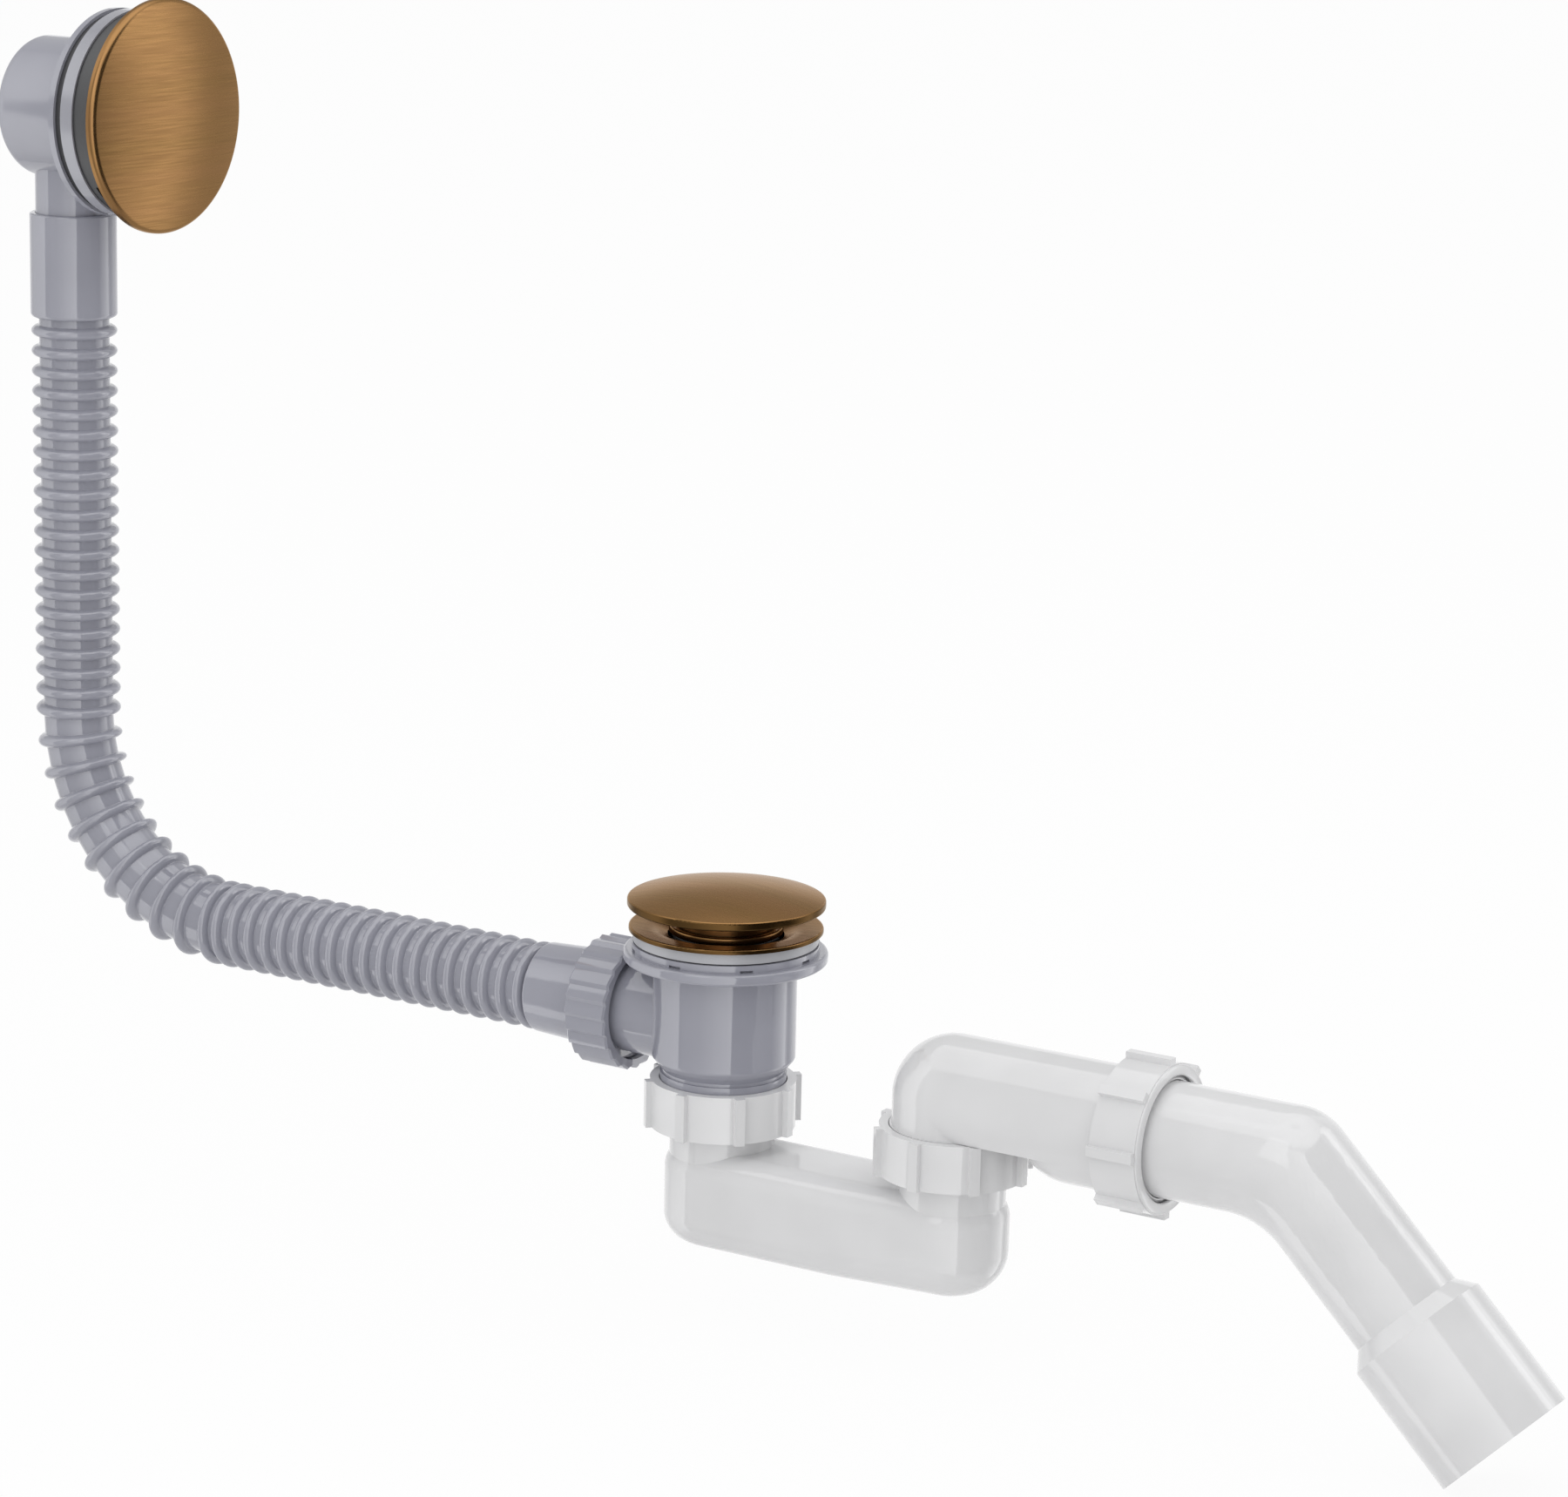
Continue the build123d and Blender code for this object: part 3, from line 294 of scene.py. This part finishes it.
def bronze(name, line_scale, facing, painted_rim_shade):
    """Bronze with brushed lines, line_scale of them to the metre along X, Y and Z: few along a line, none into
    the depth. Only the broad face is brushed, where the normal points along facing; edges are left as turned.
    If asked for, painted shade darkens what stands beyond the rim's radius from the waste's axis and faces
    elsewhere: the rims' sides and undersides."""
    material = bpy.data.materials.new(name)
    material.use_nodes = True
    nodes, links = material.node_tree.nodes, material.node_tree.links
    surface = nodes["Principled BSDF"]
    surface.inputs["Metallic"].default_value = 1.0
    surface.inputs["Specular Tint"].default_value = bronze_edge
    place = nodes.new("ShaderNodeTexCoord")
    stretch = nodes.new("ShaderNodeMapping")
    stretch.inputs["Scale"].default_value = line_scale
    links.new(place.outputs["Object"], stretch.inputs["Vector"])
    lines = nodes.new("ShaderNodeGroup")
    lines.node_tree = brushing
    links.new(stretch.outputs["Vector"], lines.inputs["Vector"])
    towards = nodes.new("ShaderNodeVectorMath")
    towards.operation = "DOT_PRODUCT"
    towards.inputs[1].default_value = facing
    links.new(place.outputs["Normal"], towards.inputs[0])
    brushed = nodes.new("ShaderNodeMix")
    face_share = spread(nodes, links, towards.outputs["Value"], face_cosines, (0.0, 1.0))
    links.new(face_share, brushed.inputs[0])
    brushed.inputs[2].default_value = turned_tone
    links.new(lines.outputs["Lines"], brushed.inputs[3])
    line_share = spread(nodes, links, brushed.outputs[0], (0.25, 0.75), line_contrast)
    cloud_share = spread(nodes, links, lines.outputs["Cloud"], (0.35, 0.65), cloud_contrast)
    tone = mixed_colour(nodes, links, line_share, bronze_dark, bronze_light)
    tone = mixed_colour(nodes, links, cloud_share, tone, bronze_red)
    # Painted shade on the rims: sides and undersides beyond the rim's radius are mixed towards the shade
    # colour.
    if painted_rim_shade:
        flat_place = nodes.new("ShaderNodeVectorMath")
        flat_place.operation = "MULTIPLY"
        flat_place.inputs[1].default_value = (1.0, 1.0, 0.0)
        links.new(place.outputs["Object"], flat_place.inputs[0])
        axis_distance = nodes.new("ShaderNodeVectorMath")
        axis_distance.operation = "LENGTH"
        links.new(flat_place.outputs["Vector"], axis_distance.inputs[0])
        side_share = spread(nodes, links, towards.outputs["Value"], side_cosines, (1.0, 0.0))
        outer_share = spread(nodes, links, axis_distance.outputs["Value"], rim_radii, (0.0, 1.0))
        beyond = nodes.new("ShaderNodeMath")
        beyond.operation = "MULTIPLY"
        links.new(side_share, beyond.inputs[0])
        links.new(outer_share, beyond.inputs[1])
        tone = mixed_colour(nodes, links, beyond.outputs[0], tone, painted_shade_colour)
    links.new(tone, surface.inputs["Base Color"])
    roughness = spread(nodes, links, brushed.outputs[0], (0.3, 0.7), bronze_roughness)
    links.new(roughness, surface.inputs["Roughness"])
    relief = nodes.new("ShaderNodeBump")
    relief.inputs["Strength"].default_value = brush_relief
    relief.inputs["Distance"].default_value = brush_depth
    links.new(brushed.outputs[0], relief.inputs["Height"])
    links.new(relief.outputs["Normal"], surface.inputs["Normal"])
    return material


def shade_evenly(piece):
    """Smooth shading up to each edge sharper than sharp_angle, where the large faces set the direction."""
    piece.modifiers.new("joined_corners", "WELD").merge_threshold = corner_gap
    edges = piece.modifiers.new("real_edges", "EDGE_SPLIT")
    edges.split_angle = sharp_angle
    edges.use_edge_sharp = False
    shading = piece.modifiers.new("even_shading", "WEIGHTED_NORMAL")
    shading.mode = "FACE_AREA"
    shading.keep_sharp = False


def dress(material, *names):
    """Gives CAD pieces their finish and an even shading."""
    for name in names:
        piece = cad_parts[name]
        piece.data.materials.clear()
        piece.data.materials.append(material)
        shade_evenly(piece)


# The flange and plug get painted shade on their rims' sides and undersides.
bronze_along = bronze("bronze_along", (45.0, 1500.0, 0.0), facing=(0.0, 0.0, 1.0), painted_rim_shade=True)
dress(bronze_along, "bath_flange", "plug_dome")


# Plug bead: the rounded bead round the foot of the plug's collar, which nearly fills the flange's throat.
# It is turned in one with the plug from the same brass, and goes down into the throat with it.
bead_ring_radius = 0.0193
bead_ring_width = 0.0018
bead_ring_level = 0.0006
bead_ring_height = 0.0026
bead_ring_power = 0.6


def full_turn(count):
    """Angles of a full circle in a count of even steps, starting at 0."""
    return 2 * pi * np.arange(count) / count


def rounded_box(points, power):
    """Outline of a rounded box from -1 to 1 both ways: the cosine and the sine of the turn, each raised to a
    power with its sign kept."""
    circle = np.stack([np.cos(full_turn(points)), np.sin(full_turn(points))])
    return np.sign(circle) * np.abs(circle) ** power


def plug_bead(around=144, points=28):
    """Ring round the waste's axis with a rounded box as its section."""
    across, up = rounded_box(points, bead_ring_power)
    radius = bead_ring_radius + bead_ring_width / 2 * across
    level = bead_ring_level + bead_ring_height / 2 * up
    angle = -full_turn(around)
    x, y = radius[:, None] * np.cos(angle), radius[:, None] * np.sin(angle)
    return np.stack([x, y, np.broadcast_to(level[:, None], x.shape)], axis=-1)


def smooth_mesh(name, points, faces):
    """Mesh of a grid of points and the corners of its faces, shaded smooth."""
    mesh = bpy.data.meshes.new(name)
    mesh.from_pydata(points.reshape(-1, 3), [], faces)
    mesh.polygons.foreach_set("use_smooth", np.ones(len(mesh.polygons), bool))
    mesh.update()
    return mesh


def closed_grid(name, points):
    """Mesh of a grid of points that closes on itself both ways, one quad between each four neighbours."""
    rows, columns = points.shape[:2]
    corner = np.arange(rows * columns).reshape(rows, columns)
    beside = np.roll(corner, -1, axis=1)
    above = np.roll(corner, -1, axis=0)
    quads = np.stack([corner, above, np.roll(above, -1, axis=1), beside], axis=-1).reshape(-1, 4)
    return smooth_mesh(name, points, quads)


def new_piece(name, mesh, material):
    """Object at the origin that carries a mesh and its finish."""
    mesh.materials.append(material)
    piece = bpy.data.objects.new(name, mesh)
    scene.collection.objects.link(piece)
    return piece


bead = new_piece("plug_bead", closed_grid("plug_bead", plug_bead()), bronze_along)
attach(bead, "plug")


# Overflow cover: a thin brass pressing with a low dome and a rolled edge, in the plug's finish, brushed across.
# A skirt on its back clips into the carrier, and water runs in behind its edge.
cover_top = -0.2433
cover_level = 0.2669
cover_radius = 0.0429
cover_rise = 0.0042
cover_roll = 0.0023
cover_back = -0.2510
cover_wall = 0.0016
skirt_back = -0.2549
skirt_radius = 0.0341
skirt_wall = 0.0018
tip_radius = 0.0003


def turned_along_x(along, radii, angle, level):
    """Profile turned about a line along X at a level: each radius goes to the side by the sine of the angle
    and up by its cosine, at the profile's own places along the line."""
    side, up = radii * np.sin(angle), level + radii * np.cos(angle)
    return np.stack([np.broadcast_to(along[:, None], up.shape), side, up], axis=-1)


def rolled_cover(around=180, dome_rows=28, roll_rows=14):
    """Shell turned about the overflow's axis. From the tip its front falls with the square of the radius to
    where a round of the roll's size takes over and turns it into the side wall; the back steps in to the
    skirt and the tip."""
    roll_centre = cover_radius - cover_roll
    start = np.arctan(2 * cover_rise * roll_centre / cover_radius**2)
    dome_radius = np.linspace(tip_radius, roll_centre + cover_roll * np.sin(start), dome_rows)
    dome = cover_top - cover_rise * (dome_radius / cover_radius) ** 2
    turn = np.linspace(start, pi / 2, roll_rows)[1:]
    roll_radius = roll_centre + cover_roll * np.sin(turn)
    roll = dome[-1] + cover_roll * (np.cos(turn) - np.cos(start))
    inside = cover_top - cover_rise - cover_wall
    back_along, back_radius = np.array([
        (cover_back + cover_wall / 4, cover_radius),
        (cover_back, cover_radius - cover_wall / 4),
        (cover_back, cover_radius - cover_wall),
        (inside, cover_radius - cover_wall),
        (inside, skirt_radius),
        (skirt_back, skirt_radius),
        (skirt_back, skirt_radius - skirt_wall),
        (inside, skirt_radius - skirt_wall),
        (cover_top - cover_wall, tip_radius),
    ]).T
    along = np.concatenate([dome, roll, back_along])
    radius = np.concatenate([dome_radius, roll_radius, back_radius])
    return turned_along_x(along, radius[:, None], -full_turn(around), cover_level)


def capped_grid(name, points):
    """Mesh of a grid of points that closes round each row, with one flat face on the first and the last row."""
    rows, columns = points.shape[:2]
    corner = np.arange(rows * columns).reshape(rows, columns)
    beside = np.roll(corner, -1, axis=1)
    quads = np.stack([corner[:-1], corner[1:], beside[1:], beside[:-1]], axis=-1).reshape(-1, 4)
    caps = [corner[0].tolist(), corner[-1, ::-1].tolist()]
    return smooth_mesh(name, points, quads.tolist() + caps)


bronze_across = bronze("bronze_across", (0.0, 45.0, 1500.0), facing=(1.0, 0.0, 0.0), painted_rim_shade=False)
cover = new_piece("rolled_cover", capped_grid("rolled_cover", rolled_cover()), bronze_across)
shade_evenly(cover)
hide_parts("overflow_rosette")
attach(cover, "waste")


# Moulded plastics: the grey waste, overflow and cuffs, the white trap, outlet and their nuts, the pale ring and
# click mechanism, and the dark carrier of the cover. All are injection moulded and screwed or pushed together.
# A mould leaves slight unevenness and a fine skin: satin on the carrier, glossy on the rest.
grey = (0.332, 0.335, 0.386, 1.0)
white = (0.750, 0.750, 0.757, 1.0)
pale = (0.350, 0.353, 0.395, 1.0)
charcoal = (0.022, 0.023, 0.026, 1.0)
plastic_refraction = 1.58
white_refraction = 1.49
patch_span = (0.3, 0.7)
darker_patch = 0.95
lighter_patch = 1.04
skin_depth = 0.0001

skin = bpy.data.node_groups.new("moulded_skin", "ShaderNodeTree")
skin.interface.new_socket("Vector", in_out="INPUT", socket_type="NodeSocketVector")
skin.interface.new_socket("Unevenness", in_out="OUTPUT", socket_type="NodeSocketFloat")
skin.interface.new_socket("Grain", in_out="OUTPUT", socket_type="NodeSocketFloat")
skin_in = skin.nodes.new("NodeGroupInput")
skin_out = skin.nodes.new("NodeGroupOutput")
for output, scale, detail in (("Unevenness", 28.0, 2.0), ("Grain", 900.0, 3.0)):
    texture = skin.nodes.new("ShaderNodeTexNoise")
    texture.inputs["Scale"].default_value = scale
    texture.inputs["Detail"].default_value = detail
    skin.links.new(skin_in.outputs["Vector"], texture.inputs["Vector"])
    skin.links.new(texture.outputs["Fac"], skin_out.inputs[output])


def moulded(name, colour, gloss, matt, relief_strength, refraction=plastic_refraction):
    """Plastic or rubber of one colour, a few percent lighter and darker in patches, its roughness between gloss
    and matt."""
    material = bpy.data.materials.new(name)
    material.use_nodes = True
    nodes, links = material.node_tree.nodes, material.node_tree.links
    surface = nodes["Principled BSDF"]
    surface.inputs["IOR"].default_value = refraction
    place = nodes.new("ShaderNodeTexCoord")
    marks = nodes.new("ShaderNodeGroup")
    marks.node_tree = skin
    links.new(place.outputs["Object"], marks.inputs["Vector"])
    patch = spread(nodes, links, marks.outputs["Unevenness"], patch_span, (0.0, 1.0))
    darker = tuple(c * darker_patch for c in colour[:3]) + (1.0,)
    lighter = tuple(c * lighter_patch for c in colour[:3]) + (1.0,)
    links.new(mixed_colour(nodes, links, patch, darker, lighter), surface.inputs["Base Color"])
    roughness = spread(nodes, links, marks.outputs["Unevenness"], patch_span, (gloss, matt))
    links.new(roughness, surface.inputs["Roughness"])
    relief = nodes.new("ShaderNodeBump")
    relief.inputs["Strength"].default_value = relief_strength
    relief.inputs["Distance"].default_value = skin_depth
    links.new(marks.outputs["Grain"], relief.inputs["Height"])
    links.new(relief.outputs["Normal"], surface.inputs["Normal"])
    return material


grey_plastic = moulded("grey_plastic", grey, gloss=0.05, matt=0.09, relief_strength=0.015)
white_plastic = moulded(
    "white_plastic", white, gloss=0.06, matt=0.10, relief_strength=0.015, refraction=white_refraction
)
pale_plastic = moulded("pale_plastic", pale, gloss=0.08, matt=0.13, relief_strength=0.02)
dark_plastic = moulded("dark_plastic", charcoal, gloss=0.38, matt=0.50, relief_strength=0.15)
dress(grey_plastic, "waste_body", "waste_branch", "overflow_body", "hose_upper_cuff", "hose_lower_cuff")
dress(pale_plastic, "overflow_front_ring", "click_housing", "click_cap", "index_rotor")
dress(dark_plastic, "rosette_carrier")
dress(white_plastic, "trap_inlet_nut", "trap_body", "riser_nut", "outlet_elbow", "outlet_nut", "outlet_bend")


# Seals: a pale gasket and a thin black seal under the flange, a ring under the plug, a dark gasket at the
# overflow and washers in the nuts, the outlet's a white one. They are moulded rubber, dull, with a fine dusty
# grain, and each is clamped between two harder pieces.
seal_pale = (0.420, 0.425, 0.450, 1.0)
seal_white = (0.700, 0.700, 0.708, 1.0)
seal_black = (0.018, 0.018, 0.022, 1.0)

pale_rubber = moulded("pale_rubber", seal_pale, gloss=0.30, matt=0.42, relief_strength=0.15)
white_rubber = moulded("white_rubber", seal_white, gloss=0.30, matt=0.42, relief_strength=0.10)
black_rubber = moulded("black_rubber", seal_black, gloss=0.50, matt=0.65, relief_strength=0.20)
dress(pale_rubber, "flange_gasket")
dress(white_rubber, "outlet_washer")
dress(black_rubber, "bath_seal", "plug_seal", "overflow_gasket")
dress(black_rubber, "hose_washer", "trap_inlet_washer", "riser_washer")


# Steel: the plunger that carries the plug and the screw that clamps the overflow, both hidden in the fittings.
# They are plain drawn steel, and drawing leaves faint lines along the bar.
steel_dark = (0.42, 0.42, 0.43, 1.0)
steel_light = (0.66, 0.66, 0.67, 1.0)
steel_line_scale = (1200.0, 1200.0, 60.0)
steel_roughness = (0.35, 0.22)

steel = bpy.data.materials.new("drawn_steel")
steel.use_nodes = True
steel_nodes, steel_links = steel.node_tree.nodes, steel.node_tree.links
steel_surface = steel_nodes["Principled BSDF"]
steel_surface.inputs["Metallic"].default_value = 1.0
steel_place = steel_nodes.new("ShaderNodeTexCoord")
steel_stretch = steel_nodes.new("ShaderNodeMapping")
steel_stretch.inputs["Scale"].default_value = steel_line_scale
steel_group = steel_nodes.new("ShaderNodeGroup")
steel_group.node_tree = brushing
steel_links.new(steel_place.outputs["Object"], steel_stretch.inputs["Vector"])
steel_links.new(steel_stretch.outputs["Vector"], steel_group.inputs["Vector"])
steel_lines = steel_group.outputs["Lines"]
steel_tone = mixed_colour(steel_nodes, steel_links, steel_lines, steel_dark, steel_light)
steel_links.new(steel_tone, steel_surface.inputs["Base Color"])
steel_gloss = spread(steel_nodes, steel_links, steel_lines, (0.3, 0.7), steel_roughness)
steel_links.new(steel_gloss, steel_surface.inputs["Roughness"])
dress(steel, "plug_stem", "overflow_screw")


# Click spring: the coil that lifts the plug, standing on the cap of the click mechanism under the rotor.
# It is wound from round steel wire; in the real waste it closes up as the plug is pressed down, but here it
# keeps its full height.
spring_low, spring_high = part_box("click_spring")
spring_wire = 0.0010
spring_coil_radius = 0.0045
spring_turns = 5
spring_height = spring_high.z - spring_low.z


def spring_coil(rows=200, around=12):
    """Tube along a helix: the middle of the wire climbs evenly with the turn, and a circle stands on the
    outward and upward directions at each place."""
    share = np.linspace(0.0, 1.0, rows)[:, None]
    turn = 2 * pi * spring_turns * share
    angle = full_turn(around)
    radius = spring_coil_radius + spring_wire / 2 * np.cos(angle)
    middle = spring_low.z + spring_wire / 2 + (spring_height - spring_wire) * share
    level = middle + spring_wire / 2 * np.sin(angle)
    return np.stack([radius * np.cos(turn), radius * np.sin(turn), level], axis=-1)


spring = new_piece("coil_spring", capped_grid("coil_spring", spring_coil()), steel)
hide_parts("click_spring")
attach(spring, "waste")
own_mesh(spring)


# Overflow hose: one blow-moulded tube with a round bead every few millimetres, pushed into a cuff at each end.
# The beads stand closer on the straight lengths than in the bend, where the tube is drawn out.
hose_radius = 0.0131
hose_bore_radius = 0.0114
bead_height = 0.0029
bead_half_width = 0.0022
bead_power = 0.55
foot_margin = 0.0003
drop_x = -0.2928
hose_top = 0.2063
bend_radius = 0.0728
run_z = -0.0341
hose_end = -0.0590
plain_top = 0.018
plain_end = 0.002
bead_pitch = 0.0076
bend_bead_pitch = 0.01125
first_drop_bead = 0.1841
last_run_bead = -0.0796
straight_bead_count = 19
bend_bead_count = 11

drop_length = hose_top - run_z - bend_radius
bend_length = bend_radius * pi / 2
run_start = drop_x + bend_radius
straight_beads = bead_pitch * np.arange(straight_bead_count)
drop_beads = hose_top - first_drop_bead + straight_beads
bend_beads = drop_beads[-1] + bead_pitch + bend_bead_pitch * np.arange(bend_bead_count)
run_beads = drop_length + bend_length + last_run_bead - straight_beads[::-1] - run_start
bead_places = np.concatenate([drop_beads, bend_beads, run_beads])


def hose_line(along):
    """Place and inward normal at a length along the hose: straight down, a quarter circle, then straight
    along X."""
    turn = np.clip((along - drop_length) / bend_radius, 0.0, pi / 2)
    down = np.minimum(along, drop_length)
    across = np.maximum(along - drop_length - bend_length, 0.0)
    inward = np.stack([np.cos(turn), np.zeros_like(turn), np.sin(turn)], axis=-1)
    centre = np.array([run_start, 0.0, run_z + bend_radius])
    place = centre - bend_radius * inward
    place[:, 2] += drop_length - down
    place[:, 0] += across
    return place, inward


def hose_surface(around=56, steps=7, bore_rows=80):
    """Closed grid: the outer wall out along the hose, its radius raised by a rounded bead at each place, and
    the plain bore back again. A bead is a flattened half round: at a share t of its half width, its height
    times 1 - t^2 raised to the bead's power."""
    share = np.sin(np.linspace(-pi / 2, pi / 2, 2 * steps + 1))
    bead_along = (bead_places[:, None] + bead_half_width * share).ravel()
    bead_radii = np.tile(hose_radius + bead_height * (1 - share**2) ** bead_power, len(bead_places))
    length = drop_length + bend_length + hose_end - run_start
    feet = (bead_places[:, None] + (bead_half_width + foot_margin) * np.array([-1.0, 1.0])).ravel()
    plain_along = np.concatenate([feet, np.linspace(0.0, plain_top, 4), [length - plain_end, length]])
    along = np.concatenate([bead_along, plain_along])
    radii = np.concatenate([bead_radii, np.full(len(plain_along), hose_radius)])
    order = np.argsort(along)
    along = np.concatenate([along[order], np.linspace(length, 0.0, bore_rows)])
    radii = np.concatenate([radii[order], np.full(bore_rows, hose_bore_radius)])
    place, inward = hose_line(along)
    angle = full_turn(around)
    side = np.array([0.0, 1.0, 0.0])
    ring = np.cos(angle)[None, :, None] * inward[:, None, :] + np.sin(angle)[None, :, None] * side
    return place[:, None, :] + radii[:, None, None] * ring


hose = new_piece("ribbed_hose", closed_grid("ribbed_hose", hose_surface()), grey_plastic)
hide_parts("overflow_hose")
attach(hose, "waste")


# Hose nut: the moulded nut that draws the hose's collar against the waste's side branch.
# It is grey plastic like the hose, with a grip of leaning flutes and a lip that the cuff passes through.
nut_left = -0.0530
nut_right = -0.0360
nut_radius = 0.0235
nut_edge = 0.0007
nut_lip = 0.0025
nut_lip_radius = 0.0177
nut_thread_radius = 0.0197
flute_count = 24
flute_depth = 0.0010
flute_slope = 0.75


def fluted_nut(columns=16):
    """Closed ring: a stepped profile carried round the branch, over the outside and back through the bore. In
    each flute the outside falls evenly over most of the width, and rises back steeply over the rest."""
    share = np.arange(flute_count * columns) / columns % 1.0
    fall = np.where(share < flute_slope, share / flute_slope, (1.0 - share) / (1.0 - flute_slope))
    along, radius, fluted = np.array([
        (nut_left, nut_lip_radius, 0.0),
        (nut_left, nut_radius - nut_edge, 1.0),
        (nut_left + nut_edge, nut_radius, 1.0),
        (nut_right - nut_edge, nut_radius, 1.0),
        (nut_right, nut_radius - nut_edge, 1.0),
        (nut_right, nut_thread_radius, 0.0),
        (nut_left + nut_lip, nut_thread_radius, 0.0),
        (nut_left + nut_lip, nut_lip_radius, 0.0),
    ]).T
    radii = radius[:, None] - fluted[:, None] * flute_depth * fall
    return turned_along_x(along, radii, full_turn(flute_count * columns), run_z)


hose_nut = new_piece("fluted_hose_nut", closed_grid("fluted_hose_nut", fluted_nut()), grey_plastic)
shade_evenly(hose_nut)
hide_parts("hose_nut")
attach(hose_nut, "waste")


# Outlet nut's collar: the smooth raised ring on the outlet nut's end, inside its lugs and round the pipe.
# It is moulded in one with the nut from the same white plastic.
collar_face = 0.1775
collar_axis_level = -0.0441
collar_height = 0.0009
collar_inner_radius = 0.0218
collar_outer_radius = 0.0256
collar_power = 0.5


def nut_collar(around=144, points=28):
    """Ring round the outlet pipe with a rounded box as its section, half of it sunk in the nut."""
    across, out = rounded_box(points, collar_power)
    half_width = (collar_outer_radius - collar_inner_radius) / 2
    radius = collar_inner_radius + half_width * (1.0 + across)
    along = collar_face + collar_height * out
    return turned_along_x(along, radius[:, None], full_turn(around), collar_axis_level)


nut_ring = new_piece("outlet_nut_collar", closed_grid("outlet_nut_collar", nut_collar()), white_plastic)
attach(nut_ring, "elbow")
